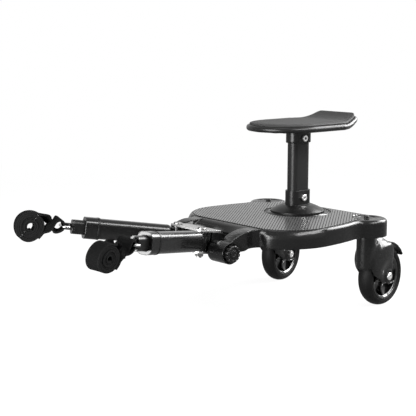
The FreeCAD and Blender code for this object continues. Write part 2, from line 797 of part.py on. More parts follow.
def strap(leg, run, roll_radius):
    """Loop and roll of one strap, in a plane with +X towards the arm and the crossing at its origin."""
    loop = strap_loop_radius
    alpha = math.asin(loop / leg)
    normal = V(math.sin(alpha), 0, math.cos(alpha))
    centre = V(-run, 0, (run * math.sin(alpha) - roll_radius) / math.cos(alpha))
    start = centre + normal * roll_radius
    half = strap_thickness / 2
    low_touch = V(leg - loop * math.sin(alpha), 0, -loop * math.cos(alpha))
    high_touch = V(low_touch.x, 0, -low_touch.z)
    stop = (strap_thickness + strap_layer_gap) / (2 * math.sin(alpha))
    end = V(stop * math.cos(alpha), 0, stop * math.sin(alpha))
    sides = []
    for offset in (half, -half):
        edge_normal = V(math.sin(alpha), 0, math.cos(alpha)) * offset
        upper_normal = V(math.sin(alpha), 0, -math.cos(alpha)) * offset
        radius = loop - offset
        points = [
            start + edge_normal, low_touch + edge_normal,
            (V(leg + radius, 0, 0), high_touch + upper_normal), end + upper_normal]
        sides.append(chain(points))
    loop_solid = band(sides[0], sides[1], strap_width)
    step = (strap_thickness + strap_layer_gap) / 2
    turns = int((roll_radius - strap_core_radius) / step)
    chains = []
    for offset in (half, -half):
        points = [start + normal * offset]
        for k in range(turns):
            radius = roll_radius - k * step
            hub = centre - normal * (step * (k % 2))
            sign = 1 if k % 2 == 0 else -1
            left = V(-normal.z, 0, normal.x)
            middle = hub + left * (sign * (radius + offset))
            points.append((middle, hub - normal * (sign * (radius + offset))))
        chains.append(chain(points))
    roll_solid = band(chains[0], chains[1], strap_width)
    length = sum(math.pi * (roll_radius - k * step) for k in range(turns))
    least = least_gap(chains[1], chains[0])
    return loop_solid, roll_solid, length, least


def build_arms():
    """Two swinging arms, each a sleeve with a telescoping tube, a steel ring and a rolled strap."""
    ring_outer = (sleeve_width + 2 * ring_proud, sleeve_tall + 2 * ring_proud, sleeve_corner + ring_proud)
    collar_outer = (
        sleeve_width + 2 * collar_proud, sleeve_tall + 2 * collar_proud, sleeve_corner + collar_proud)
    sleeve_inner = (
        sleeve_width - 2 * sleeve_wall, sleeve_tall - 2 * sleeve_wall, sleeve_corner - sleeve_wall)
    tube_hole = (tube_width + 2 * slide_gap, tube_tall + 2 * slide_gap, tube_corner + slide_gap)
    tube_bore = (tube_width - 2 * tube_wall, tube_tall - 2 * tube_wall, tube_corner - tube_wall)
    plug_size = [size - 2 * seat_gap for size in sleeve_inner[:2]] + [sleeve_inner[2] - seat_gap]
    eye_tall = plate_gap - 2 * run_gap
    eye = round_z(eye_radius, -eye_tall / 2, eye_tall / 2)
    neck = Part.makeBox(sleeve_start, root_neck_width, sleeve_tall - 2 * sleeve_wall - 2 * seat_gap)
    neck.translate(V(0, -root_neck_width / 2, -(sleeve_tall / 2 - sleeve_wall - seat_gap)))
    root_plug = along_x(*plug_size, sleeve_start - shaft_gap, sleeve_start + root_plug_length)
    root = eye.multiFuse([neck, root_plug])
    root = root.cut(round_z(pivot_radius + shaft_gap, -eye_tall, eye_tall)).removeSplitter()
    sleeve = along_x(sleeve_width, sleeve_tall, sleeve_corner, sleeve_start, sleeve_end)
    sleeve = sleeve.cut(along_x(*sleeve_inner, sleeve_start - overrun, sleeve_end + overrun))
    ring_start = sleeve_end - ring_length - run_gap
    trim = along_x(*ring_outer, ring_start, ring_start + ring_length)
    trim = trim.cut(along_x(
        sleeve_width + 2 * shaft_gap, sleeve_tall + 2 * shaft_gap, sleeve_corner + shaft_gap,
        ring_start - overrun, sleeve_end + overrun))
    collar = along_x(*collar_outer, sleeve_end, collar_end)
    collar = collar.cut(along_x(*tube_hole, sleeve_end - overrun, collar_end + overrun))
    tube = along_x(tube_width, tube_tall, tube_corner, tube_start, tube_end)
    tube = tube.cut(along_x(*tube_bore, tube_start - overrun, tube_end + overrun))
    glide_outer = [size - 2 * slide_gap for size in sleeve_inner[:2]] + [sleeve_inner[2] - slide_gap]
    glide = along_x(*glide_outer, tube_start, tube_start + glide_length)
    glide = glide.cut(along_x(
        tube_width + 2 * shaft_gap, tube_tall + 2 * shaft_gap, tube_corner + shaft_gap,
        tube_start - overrun, tube_start + glide_length + overrun))
    ring, near_bar, far_bar = oval_ring()
    bore = [size - 2 * seat_gap for size in tube_bore[:2]] + [tube_bore[2] - seat_gap]
    plug = along_x(*bore, tube_end - plug_depth, tube_end)
    plug = plug.fuse(along_x(tube_width, tube_tall, tube_corner, tube_end, tube_end + plug_face))
    lug = Part.makeBox(lug_reach, lug_thickness, lug_height)
    lug.translate(V(tube_end + plug_face - shaft_gap, -lug_thickness / 2, -lug_height / 2))
    plug = plug.fuse(lug)
    plug = plug.cut(Part.makeCylinder(
        ring_wire_radius + ring_hole_gap, 2 * lug_thickness, V(near_bar, -lug_thickness, 0), V(0, 1, 0)))
    plug = plug.removeSplitter()
    fixed = {"arm_root": root, "arm_sleeve": sleeve, "sleeve_ring": trim, "sleeve_collar": collar}
    sliding = {"inner_tube": tube, "tube_glide": glide, "tube_plug": plug, "strap_ring": ring}
    for side, name in SIDES:
        leg, run, roll, droop, push = (
            (strap_leg_left, strap_run_left, strap_roll_left, strap_droop_left, 0) if side > 0
            else (strap_leg_right, strap_run_right, strap_roll_right, strap_droop_right, tube_push_right))
        loop, rolled, length, least = strap(leg, run, roll)
        reach = strap_loop_radius - strap_thickness / 2 - ring_wire_radius - strap_fit
        crossing = far_bar + reach + leg
        turn = FreeCAD.Placement(V(far_bar, 0, 0), FreeCAD.Rotation(V(0, 1, 0), droop))
        flip = FreeCAD.Placement(V(crossing - far_bar, 0, 0), FreeCAD.Rotation(UP, 180))
        for soft, shape in (("strap_loop", loop), ("strap_roll", rolled)):
            shape.Placement = turn.multiply(flip).multiply(shape.Placement)
        print(f"strap {name}: rolled length {length:.0f} mm, least gap between turns {least:.2f} mm")
        pushed = arm_place(side).multiply(FreeCAD.Placement(V(-push, 0, 0), FreeCAD.Rotation()))
        moving = {**sliding, "strap_loop": loop, "strap_roll": rolled}
        for place, pieces in ((arm_place(side), fixed), (pushed, moving)):
            for piece, shape in pieces.items():
                shape = shape.copy()
                shape.Placement = place.multiply(shape.Placement)
                nodes[f"{piece}_{name}"] = shape


def pan_outline(inset, z):
    """The seat's plan: a round front, straight sides, cut rear corners and a straight rear edge."""
    half = pan_half_width - inset
    front = pan_front - inset
    tail = pan_tail - inset
    tail_half = pan_tail_half - inset / 2
    slope = math.sqrt(0.5)
    bow = front - pan_front_corner
    return [
        deck_point(0, front, z), (deck_point(half * slope, pan_front_corner + bow * slope, z),
                                  deck_point(half, pan_front_corner, z)),
        deck_point(half, -pan_side_end, z), deck_point(tail_half, -tail, z), deck_point(0, -tail, z),
        deck_point(0, front, z)]


def curl_arc(x, low, rise):
    """Middle and end of the arc along which a face of the seat curls up at the rear."""
    tail = pan_tail + overrun
    run = tail - pan_curl_start
    radius = (run ** 2 + rise ** 2) / (2 * rise)
    half_turn = math.asin(run / radius) / 2
    bend = pan_curl_start + radius * math.sin(half_turn)
    lift = radius * (1 - math.cos(half_turn))
    return deck_point(x, -bend, low + lift), deck_point(x, -tail, low + rise)


def curl_solid(low, thickness, lip):
    """A slab as wide as the seat that curls up at the rear, its top face higher there by the lip."""
    front = pan_front + overrun
    x = -pan_half_width
    high = low + thickness
    top_middle, top_end = curl_arc(x, high, pan_curl_rise + lip)
    points = [
        deck_point(x, front, low), deck_point(x, -pan_curl_start, low), curl_arc(x, low, pan_curl_rise),
        top_end, (top_middle, deck_point(x, -pan_curl_start, high)),
        deck_point(x, front, high), deck_point(x, front, low)]
    return prism(points, V(2 * pan_half_width, 0, 0))


def is_standing(edge, height):
    """Whether an edge is an upright one of at least half the height."""
    box = edge.BoundBox
    return box.ZLength > height / 2 and box.XLength < overrun and box.YLength < overrun


def seat_slab(inset, low, thickness, lip=0):
    """A slab of the seat's plan with round rear corners, curled up at the rear."""
    deep = pan_thickness + pan_curl_rise + lip
    slab = mirrored(prism(pan_outline(inset, pan_bottom - deep), V(0, 0, 3 * deep)))
    corners = [e for e in slab.Edges if is_standing(e, deep) and e.BoundBox.Center.y > stem_y]
    slab = slab.makeFillet(pan_corner, corners)
    return slab.common(curl_solid(low, thickness, lip)).removeSplitter()


def rounded_rim(slab, thickness, radius):
    """The slab with its rims rounded, leaving its upright edges and the line where the curl starts."""
    rims = []
    for edge in slab.Edges:
        box = edge.BoundBox
        crossing = box.XLength > 2 * pan_tail_half and box.YLength < overrun
        if not crossing and not is_standing(edge, thickness):
            rims.append(edge)
    return slab.makeFillet(radius, rims)


def pan_ribs(space):
    """The ribs that cross the hollow under the seat pan both ways."""
    tall = pan_thickness + pan_curl_rise
    ribs = []
    for k in range(-2, 3):
        lengthwise = Part.makeBox(rib_thickness, pan_front + pan_tail, tall)
        lengthwise.translate(deck_point(k * pan_rib_pitch - rib_thickness / 2, pan_front, pan_bottom))
        crosswise = Part.makeBox(2 * pan_half_width, rib_thickness, tall)
        crosswise.translate(V(-pan_half_width, post_y + k * pan_rib_pitch - rib_thickness / 2, pan_bottom))
        ribs += [lengthwise.common(space), crosswise.common(space)]
    return ribs


def build_seat():
    """The plug-in seat: base, post, pan, pad and the two cross bolts."""
    socket = (post_width + 2 * socket_wall, post_length + 2 * socket_wall, post_corner + socket_wall)
    hole = (post_width + 2 * seat_gap, post_length + 2 * seat_gap, post_corner + seat_gap)
    dome_top = deck_top + flange_rise
    edge_top = deck_top + flange_edge
    bulge = (flange_radius + flange_shoulder_radius) / 2
    profile = [
        V(0, post_y, deck_top), V(flange_radius, post_y, deck_top), V(flange_radius, post_y, edge_top),
        (V(bulge, post_y, edge_top + flange_rise * flange_bulge_share),
         V(flange_shoulder_radius, post_y, dome_top)),
        V(0, post_y, dome_top), V(0, post_y, deck_top)]
    base = Part.Face(Part.Wire(chain(profile))).revolve(V(0, post_y, 0), UP, 360)
    base = base.fuse(upright(*socket, post_y, edge_top, socket_top))
    base = base.fuse(upright(
        spigot_width, spigot_length, spigot_corner, post_y, deck_top - spigot_depth, edge_top))
    base = base.cut(upright(*hole, post_y, post_foot, socket_top + overrun))
    post_top = pan_bottom + pan_thickness - pan_shell - run_gap
    post = upright(post_width, post_length, post_corner, post_y, post_foot, post_top)
    post = post.cut(upright(
        post_width - 2 * post_wall, post_length - 2 * post_wall, post_corner - post_wall, post_y,
        post_foot - overrun, post_top + overrun))
    slab = seat_slab(0, pan_bottom, pan_thickness)
    hollow = seat_slab(pan_rim_width, pan_bottom - pan_shell, pan_thickness)
    pan = rounded_rim(slab, pan_thickness, pan_round).cut(hollow).multiFuse(pan_ribs(hollow.common(slab)))
    neck = upright(*socket, post_y, upper_socket_bottom, pan_bottom + pan_thickness - pan_shell)
    pan = pan.fuse(neck).cut(upright(*hole, post_y, upper_socket_bottom - overrun, post_top + run_gap))
    pad_low = pan_bottom + pan_thickness - pad_seat_depth
    pad = seat_slab(pad_inset, pad_low, pad_thickness, pad_lip_rise)
    pan = pan.cut(pad)
    pad = rounded_rim(pad, pad_thickness, pad_round)
    bolts, nuts = [], []
    grip = post_width / 2 + socket_wall
    for height in (low_bolt_height, high_bolt_height):
        centre = V(0, post_y, height)
        bore = round_x(post_bolt_radius + shaft_gap, -grip - overrun, grip + overrun, post_y, height)
        base, post, pan = base.cut(bore), post.cut(bore), pan.cut(bore)
        shank = round_x(post_bolt_radius, -grip - post_bolt_head_height, grip, post_y, height)
        head = hexagon(post_bolt_head_radius, grip, grip + post_bolt_head_height, centre, "x")
        bolts.append(shank.fuse(head).removeSplitter())
        nut_end = -grip - post_bolt_head_height
        nut = hexagon(post_bolt_head_radius, nut_end, -grip, centre, "x")
        nuts.append(nut.cut(round_x(
            post_bolt_radius + shaft_gap, nut_end - overrun, -grip + overrun, post_y, height)))
    nodes["seat_base"] = base.removeSplitter()
    nodes["seat_post"] = post
    nodes["seat_pan"] = pan.removeSplitter()
    nodes["seat_pad"] = pad.removeSplitter()
    nodes["post_bolts"] = group(bolts)
    nodes["post_nuts"] = group(nuts)


build_deck()
build_swivels()
build_casters()
build_hinge()
build_bracket()
build_arms()
build_seat()
os.makedirs("parts", exist_ok=True)
for node, solid in nodes.items():
    solid.exportStep(f"parts/{node}.step")
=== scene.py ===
"""Looks of a buggy board: moulded black plastic, bright steel, ribbed rubber and black webbing."""
import json
import math

import bmesh
import bpy
from bpy.props import FloatProperty, IntProperty, PointerProperty
from bpy.types import Operator, Panel, PropertyGroup
from mathutils import Matrix, Vector


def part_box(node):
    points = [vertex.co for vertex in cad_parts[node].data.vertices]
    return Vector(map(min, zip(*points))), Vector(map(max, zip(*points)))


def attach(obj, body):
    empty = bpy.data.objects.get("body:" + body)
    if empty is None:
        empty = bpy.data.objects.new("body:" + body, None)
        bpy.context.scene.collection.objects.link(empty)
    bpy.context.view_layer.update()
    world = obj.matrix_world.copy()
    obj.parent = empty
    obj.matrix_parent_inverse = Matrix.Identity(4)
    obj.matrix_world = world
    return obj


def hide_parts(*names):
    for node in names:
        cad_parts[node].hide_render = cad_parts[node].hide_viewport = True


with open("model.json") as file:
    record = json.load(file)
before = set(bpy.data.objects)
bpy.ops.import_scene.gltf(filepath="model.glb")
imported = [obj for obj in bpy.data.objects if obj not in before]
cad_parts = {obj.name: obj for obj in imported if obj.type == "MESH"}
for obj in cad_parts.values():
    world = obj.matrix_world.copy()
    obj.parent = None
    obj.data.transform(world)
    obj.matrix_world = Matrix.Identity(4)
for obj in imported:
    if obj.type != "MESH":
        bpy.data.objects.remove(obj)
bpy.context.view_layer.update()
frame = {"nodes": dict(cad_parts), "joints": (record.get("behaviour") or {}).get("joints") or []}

bl_info = {
    "name": "Buggy board looks",
    "version": (1, 0, 0),
    "blender": (4, 5, 0),
    "location": "View3D > Sidebar > Board",
    "description": "Dresses the frame of a buggy board: finishes, mat, pad, straps, wheels and stage",
    "category": "Object",
}

MM = 0.001
SIDES = ((1, "left"), (-1, "right"))


class Wire:
    """A shader socket that takes part in sums and products."""

    def __init__(self, paint, socket):
        self.paint = paint
        self.socket = socket

    def math(self, operation, *values):
        return self.paint.node("ShaderNodeMath", {"operation": operation}, dict(enumerate(values)))

    def __add__(self, other):
        return self.math("ADD", self, other)

    def __radd__(self, other):
        return self.math("ADD", other, self)

    def __sub__(self, other):
        return self.math("SUBTRACT", self, other)

    def __rsub__(self, other):
        return self.math("SUBTRACT", other, self)

    def __mul__(self, other):
        return self.math("MULTIPLY", self, other)

    def __rmul__(self, other):
        return self.math("MULTIPLY", other, self)

    def __truediv__(self, other):
        return self.math("DIVIDE", self, other)

    def __rtruediv__(self, other):
        return self.math("DIVIDE", other, self)

    def sine(self):
        return self.math("SINE", self)

    def size(self):
        return self.math("ABSOLUTE", self)

    def step(self, low, high):
        """0 below low and 1 above high, smoothly."""
        return self.paint.node(
            "ShaderNodeMapRange", {"interpolation_type": "SMOOTHSTEP"},
            {"Value": self, "From Min": low, "From Max": high})


class Graph:
    """A node tree, and the one way that its nodes are made."""

    def __init__(self, tree):
        self.tree = tree

    def node(self, kind, settings=None, inputs=None, output=0):
        """Any node: its settings first, then the values or wires of its inputs; gives one output's wire."""
        made = self.tree.nodes.new(kind)
        for name, value in (settings or {}).items():
            setattr(made, name, value)
        for name, value in (inputs or {}).items():
            if isinstance(value, Wire):
                self.tree.links.new(value.socket, made.inputs[name])
            else:
                made.inputs[name].default_value = value
        return Wire(self, made.outputs[output]) if made.outputs else None

    def mixed(self, factor, first, second):
        """Between two surfaces."""
        return self.node("ShaderNodeMixShader", None, {0: factor, 1: first, 2: second})


class Paint(Graph):
    """One material's nodes."""

    def __init__(self, name):
        self.material = bpy.data.materials.new(name)
        self.material.use_nodes = True
        super().__init__(self.material.node_tree)
        self.tree.nodes.clear()
        self.place = self.node("ShaderNodeTexCoord", output="Object")

    def noise(self, scale, detail=2.0, place=None):
        """Fine mottling between 0 and 1, about 1 / scale metres across."""
        return self.node("ShaderNodeTexNoise", None, {
            "Vector": place or self.place, "Scale": scale, "Detail": detail})

    def stretched(self, factors):
        """The place with its axes scaled, for grain that runs one way."""
        return self.node("ShaderNodeMapping", None, {"Vector": self.place, "Scale": factors})

    def axes(self, place=None):
        """The separate coordinates of a place."""
        split = self.node("ShaderNodeSeparateXYZ", None, {"Vector": place or self.place})
        return [Wire(self, socket) for socket in split.socket.node.outputs]

    def tint(self, factor, first, second):
        """Between two colours."""
        return self.node(
            "ShaderNodeMix", {"data_type": "RGBA"}, {0: factor, 6: first, 7: second}, output=2)

    def bump(self, height, depth, normal=None, strength=1.0):
        """A normal tilted by a height between 0 and 1 over depth metres."""
        inputs = {"Height": height, "Distance": depth, "Strength": strength}
        if normal is not None:
            inputs["Normal"] = normal
        return self.node("ShaderNodeBump", None, inputs)

    def eased(self, radius):
        """A normal that rounds sharp edges off by a radius."""
        return self.node("ShaderNodeBevel", {"samples": 6}, {"Radius": radius})

    def finish(self, colour, roughness, normal=None, **steady):
        """Ends the material in one surface; steady holds what is the same all over."""
        inputs = {"Base Color": colour, "Roughness": roughness}
        inputs.update({name.replace("_", " "): value for name, value in steady.items()})
        if normal is not None:
            inputs["Normal"] = normal
        return self.ended(self.node("ShaderNodeBsdfPrincipled", None, inputs))

    def ended(self, surface):
        """The material, with a surface at its end."""
        self.node("ShaderNodeOutputMaterial", None, {"Surface": surface})
        return self.material


def grey(value, warm=0.0):
    """A neutral colour, a little warm or cool."""
    return (value * (1 + warm), value, value * (1 - warm), 1.0)


def moulded(name, shade, roughness, grain=0.12, edge=0.0006, coat=0.0, mark=None):
    """Moulded black plastic: fine grain, patches of polish, eased edges, blacker where an attribute says."""
    p = Paint(name)
    fine = p.noise(2600.0, 3.0)
    patch = p.noise(38.0, 3.0)
    scuff = p.noise(420.0, 4.0, p.stretched((1.0, 0.25, 1.0))).step(0.62, 0.74)
    colour = p.tint(patch, grey(shade * 0.86), grey(shade * 1.16))
    colour = p.tint(scuff * 0.18, colour, grey(shade * 2.4))
    if mark:
        marked = p.node("ShaderNodeAttribute", {"attribute_name": mark}, output="Fac")
        colour = p.tint(marked, colour, grey(0.001))
    rough = patch * 0.10 + (roughness - 0.05) + scuff * 0.07 + fine * 0.03
    normal = p.bump(fine, 0.00006, p.eased(edge), grain)
    return p.finish(
        colour, rough, normal, Coat_Weight=coat, Coat_Roughness=0.1, Specular_IOR_Level=0.2, IOR=1.5)


def steel(name, shade, roughness, streak=(40.0, 40.0, 1.0)):
    """Plated steel with a fine draw grain and painted shade in its recesses."""
    p = Paint(name)
    grain = p.noise(90.0, 5.0, p.stretched(streak))
    patch = p.noise(60.0, 2.0)
    colour = p.tint(grain * 0.6 + patch * 0.4, grey(shade * 0.82), grey(min(shade * 1.12, 1.0), 0.01))
    # Painted shade: within 3 mm of other surfaces the colour falls to near black, by ambient occlusion.
    ao_painted_shade = p.node("ShaderNodeAmbientOcclusion", {"samples": 6}, {"Distance": 0.003}, output="AO")
    colour = p.tint(ao_painted_shade.step(0.3, 0.75), grey(0.01), colour)
    normal = p.bump(grain, 0.00002, p.eased(0.0004), 0.5)
    return p.finish(colour, grain * 0.10 + patch * 0.06 + (roughness - 0.06), normal, Metallic=1.0)


def chrome(name, shade):
    """Bright chrome with faint handling marks."""
    p = Paint(name)
    mark = p.noise(300.0, 4.0).step(0.5, 0.8)
    return p.finish(
        p.tint(mark, grey(shade), grey(shade * 0.9)), mark * 0.12 + 0.06, p.eased(0.0003), Metallic=1.0)


def rubber(name, shade, roughness, pitch=1900.0):
    """Matte rubber with a stippled skin and a little bloom."""
    p = Paint(name)
    stipple = p.noise(pitch, 2.0)
    bloom = p.noise(55.0, 4.0)
    colour = p.tint(bloom.step(0.35, 0.75), grey(shade * 0.85), grey(shade * 1.3))
    normal = p.bump(stipple, 0.00010, p.eased(0.0005), 0.5)
    return p.finish(colour, bloom * 0.12 + (roughness - 0.06), normal, Specular_IOR_Level=0.1)


def ribbed(name, shade, foot, crest):
    """The mat's firm rubber: dull, painted dark as shade, up to the ribs' foot; polished from their crest on.
    """
    p = Paint(name)
    stipple = p.noise(1900.0, 2.0)
    bloom = p.noise(45.0, 4.0)
    top = p.axes()[2].step(foot, crest)
    colour = p.tint(bloom.step(0.4, 0.8) * 0.3, grey(shade), grey(shade * 1.6))
    normal = p.bump(stipple, 0.00006, p.eased(0.0003), 0.4)
    polished = p.node("ShaderNodeBsdfPrincipled", None, {
        "Base Color": colour, "Roughness": bloom * 0.08 + 0.19, "Normal": normal, "Specular IOR Level": 0.35})
    # Painted shade: the grooves between the ribs take a colour far darker than the rubber's own.
    dull = p.node("ShaderNodeBsdfDiffuse", None, {"Color": grey(shade * 0.12)})
    return p.ended(p.mixed(top, dull, polished))


def nylon(name):
    """Natural nylon of the hidden bushes and glides."""
    p = Paint(name)
    cloud = p.noise(120.0, 3.0)
    return p.finish(p.tint(cloud, grey(0.50, 0.02), grey(0.60, 0.02)), cloud * 0.1 + 0.4)


def webbing(name):
    """Black woven webbing: cross ribs between lengthwise yarns, by the strap's own UV map in metres."""
    yarn_pitch, rib_pitch, middle, border_start, border_end = 0.0016, 0.0021, 0.0125, 0.0102, 0.0112
    p = Paint(name)
    across, along, _ = p.axes(p.node("ShaderNodeUVMap", {"uv_map": "strap"}))
    yarn = (across * (math.tau / yarn_pitch)).sine() * 0.5 + 0.5
    sway = (across * (math.tau / (2 * yarn_pitch))).sine() * 1.4
    pick = (along * (math.tau / rib_pitch) + sway).sine() * 0.5 + 0.5
    weave = yarn * 0.45 + pick * 0.55
    border = (across - middle).size().step(border_start, border_end)
    fuzz = p.noise(900.0, 4.0)
    height = weave * (1.0 - border * 0.6) + fuzz * 0.25
    colour = p.tint(weave * 0.7 + fuzz * 0.3, grey(0.001), grey(0.004, -0.01))
    colour = p.tint(border * 0.6, colour, grey(0.006))
    return p.finish(colour, fuzz * 0.12 + 0.78, p.bump(height, 0.00035), Specular_IOR_Level=0.02)


def foam(name):
    """The seat pad's black foam skin: a fine pebble and soft dull patches."""
    p = Paint(name)
    pebble = p.node("ShaderNodeTexVoronoi", None, {"Vector": p.place, "Scale": 1100.0})
    cloud = p.noise(30.0, 4.0)
    colour = p.tint(cloud, grey(0.012), grey(0.020))
    normal = p.bump(pebble, 0.00012, None, 0.6)
    return p.finish(colour, cloud * 0.12 + 0.62, normal, Specular_IOR_Level=0.18)


class BoardFinish(PropertyGroup):
    """Shades and gloss that a user would change."""

    black: FloatProperty(name="Black", description="Shade of the plastic", default=0.003, min=0, max=1)
    gloss: FloatProperty(name="Gloss", description="Roughness of deck and forks", default=0.2, min=0, max=1)
    mat: FloatProperty(name="Mat", description="Shade of the ribbed mat", default=0.04, min=0, max=1)
    steel: FloatProperty(name="Steel", description="Shade of bolts and plates", default=0.9, min=0, max=1)


class BoardSizes(PropertyGroup):
    """Sizes and counts of the pieces that the frame leaves plain."""

    rib_pitch: FloatProperty(
        name="Rib pitch", description="From rib to rib of the mat", default=0.0043, unit="LENGTH")
    rib_height: FloatProperty(name="Rib height", description="Of each rib", default=0.0009, unit="LENGTH")
    notches: IntProperty(name="Knob notches", description="Round each clamp knob", default=12, min=3)
    spokes: IntProperty(name="Spokes", description="Of each wheel", default=6, min=3)


# From the mat's top down to where its ribs are polished and where they are dull and painted dark as shade
MAT_CREST_DROP = 0.00020
MAT_FOOT_DROP = 0.00075


def finishes():
    """Every finish by name, made once."""
    look = bpy.context.scene.board_finish
    mat_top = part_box("grip_mat")[1].z
    # Each plastic: its share of the black, its roughness and what else sets it apart
    plastics = {
        "deck": (1.0, look.gloss, {"edge": 0.003}),
        "fork": (1.0, look.gloss + 0.06, {"coat": 0.05, "mark": "boss"}),
        "cap": (0.8, 0.32),
        "knob": (1.0, 0.26),
        "bracket": (0.8, 0.26),
        "arm": (1.0, 0.22, {"grain": 0.15, "edge": 0.005, "coat": 0.25}),
        "arm_end": (0.8, 0.18, {"edge": 0.002, "coat": 0.2}),
        "tube": (0.9, 0.28),
        "hub": (0.8, 0.14, {"grain": 0.05, "edge": 0.0016, "coat": 1.0}),
        "base": (1.0, 0.32),
        "post": (1.0, 0.42, {"grain": 0.5}),
        "shell": (1.1, 0.30, {"edge": 0.003}),
    }
    made = {}
    for name, (share, rough, *more) in plastics.items():
        made[name] = moulded(f"{name}_black", look.black * share, rough, **dict(*more))
    made["steel"] = steel("bolt_steel", look.steel, 0.26)
    made["plate"] = steel("plate_steel", look.steel * 0.5, 0.30, (2.0, 40.0, 40.0))
    made["nut"] = steel("nut_steel", look.steel * 0.2, 0.34)
    made["chrome"] = chrome("ring_chrome", 0.35)
    made["mat"] = ribbed("mat_rubber", look.mat, mat_top - MAT_FOOT_DROP, mat_top - MAT_CREST_DROP)
    made["tyre"] = rubber("tyre_rubber", look.black * 0.7, 0.55, 1300.0)
    made["nylon"] = nylon("bush_nylon")
    made["webbing"] = webbing("strap_webbing")
    made["foam"] = foam("pad_foam")
    return made


NODE_FINISH = {
    "deck": ["deck_shell"], "cap": ["swivel_caps"], "knob": ["hinge_knob_left", "hinge_knob_right"],
    "bracket": ["hitch_bracket"], "plate": ["bracket_top_plate", "bracket_bottom_plate"], "mat": ["grip_mat"],
    "base": ["seat_base"], "post": ["seat_post"], "shell": ["seat_pan"], "foam": ["seat_pad"],
    "steel": ["swivel_kingpins", "swivel_nuts", "thrust_washers", "hinge_rod", "post_bolts", "post_nuts"],
    "nut": ["arm_pivot_bolts", "arm_pivot_nuts"], "nylon": ["friction_washers"],
}
PAIR_FINISH = {
    "fork": ["caster_fork"], "arm": ["arm_sleeve"], "arm_end": ["arm_root", "sleeve_collar", "tube_plug"],
    "tube": ["inner_tube"], "hub": ["wheel_hub"], "tyre": ["tyre"], "chrome": ["strap_ring"],
    "cap": ["sleeve_ring"], "steel": ["axle_bolt", "axle_nut", "wheel_bearings"],
    "nylon": ["stem_bush", "tube_glide"], "webbing": ["strap_loop", "strap_roll"],
}


def node_finishes():
    """The finish of each node of the frame."""
    found = {}
    for finish, names in NODE_FINISH.items():
        found.update({name: finish for name in names})
    for finish, names in PAIR_FINISH.items():
        found.update({f"{name}_{side}": finish for name in names for _, side in SIDES})
    return found


FINISH = {}


class BOARD_OT_finishes(Operator):
    """Gives every piece of the frame its finish"""

    bl_idname = "board.finishes"
    bl_label = "Finishes"

    def execute(self, context):
        FINISH.update(finishes())
        for name, finish in node_finishes().items():
            node = frame["nodes"][name]
            node.data.materials.clear()
            node.data.materials.append(FINISH[finish])
        return {"FINISHED"}


class Pattern(Graph):
    """A Geometry Nodes tree with named sizes, run once to make a plain mesh."""

    def __init__(self, name, **sizes):
        super().__init__(bpy.data.node_groups.new(name, "GeometryNodeTree"))
        self.sizes = sizes
        sockets = self.tree.interface
        sockets.new_socket("Geometry", in_out="INPUT", socket_type="NodeSocketGeometry")
        kinds = {int: "NodeSocketInt", float: "NodeSocketFloat"}
        for label, value in sizes.items():
            sockets.new_socket(label, in_out="INPUT", socket_type=kinds[type(value)])
        sockets.new_socket("Geometry", in_out="OUTPUT", socket_type="NodeSocketGeometry")
        self.given = self.tree.nodes.new("NodeGroupInput")

    def size(self, label):
        """The wire of one of the tree's inputs."""
        return Wire(self, self.given.outputs[label])

    def run(self, geometry, finish, mesh):
        """Ends the tree in real geometry with a finish, and gives the mesh that it makes from a mesh."""
        real = self.node("GeometryNodeRealizeInstances", None, {"Geometry": geometry})
        painted = self.node(
            "GeometryNodeSetMaterial", None, {"Geometry": real, "Material": FINISH[finish]})
        self.node("NodeGroupOutput", None, {"Geometry": painted})
        holder = shown("pattern", mesh)
        modifier = holder.modifiers.new("pattern", "NODES")
        modifier.node_group = self.tree
        for socket in self.tree.interface.items_tree:
            if socket.in_out == "INPUT" and socket.name in self.sizes:
                modifier[socket.identifier] = self.sizes[socket.name]
        return applied(holder)


def shown(name, data):
    """A new object of some data, linked into the scene."""
    made = bpy.data.objects.new(name, data)
    bpy.context.scene.collection.objects.link(made)
    return made


def applied(holder):
    """The mesh of an object with its modifiers applied; the object itself goes."""
    graph = bpy.context.evaluated_depsgraph_get()
    mesh = bpy.data.meshes.new_from_object(
        holder.evaluated_get(graph), preserve_all_data_layers=True, depsgraph=graph)
    bpy.data.objects.remove(holder)
    return mesh


def meshed(form, name):
    """The mesh of a bmesh, which is let go."""
    mesh = bpy.data.meshes.new(name)
    form.to_mesh(mesh)
    form.free()
    return mesh


def piece(name, mesh, body, finish, slot, *replaced, crease=35.0):
    """A finished mesh as a piece on a body, standing for nodes of the frame."""
    mesh.materials.clear()
    mesh.materials.append(FINISH[finish])
    mesh.shade_smooth()
    mesh.set_sharp_from_angle(angle=math.radians(crease))
    made = shown(name, mesh)
    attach(made, body)
    if replaced:
        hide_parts(*replaced)
    return made


def merged(node):
    """A copy of a node's mesh with its loose triangles joined."""
    form = bmesh.new()
    form.from_mesh(frame["nodes"][node].data)
    bmesh.ops.remove_doubles(form, verts=form.verts, dist=0.01 * MM)
    return form


def joint(name):
    """A joint of the frame."""
    return next(j for j in frame["joints"] if j["name"] == name)


def skinned(rows, ring=False):
    """A skin over rows of places, each row a loop: joined into a ring, or closed at both ends."""
    form = bmesh.new()
    loops = [[form.verts.new(spot) for spot in row] for row in rows]
    for here, after in zip(loops, loops[1:] + loops[:1] if ring else loops[1:]):
        for i in range(len(here)):
            j = (i + 1) % len(here)
            form.faces.new((here[i], here[j], after[j], after[i]))
    if not ring:
        form.faces.new(loops[0])
        form.faces.new(loops[-1])
    bmesh.ops.recalc_face_normals(form, faces=form.faces)
    form.verts.index_update()
    return form


def about_x(x, radius, angle):
    """A place round the X axis, from millimetres."""
    return (x * MM, radius * math.cos(angle) * MM, radius * math.sin(angle) * MM)


def turned(name, outline, steps=96):
    """A ring about the X axis from a closed outline of (x, radius) in millimetres."""
    angles = [math.tau * k / steps for k in range(steps)]
    return meshed(skinned([[about_x(x, r, a) for x, r in outline] for a in angles], ring=True), name)


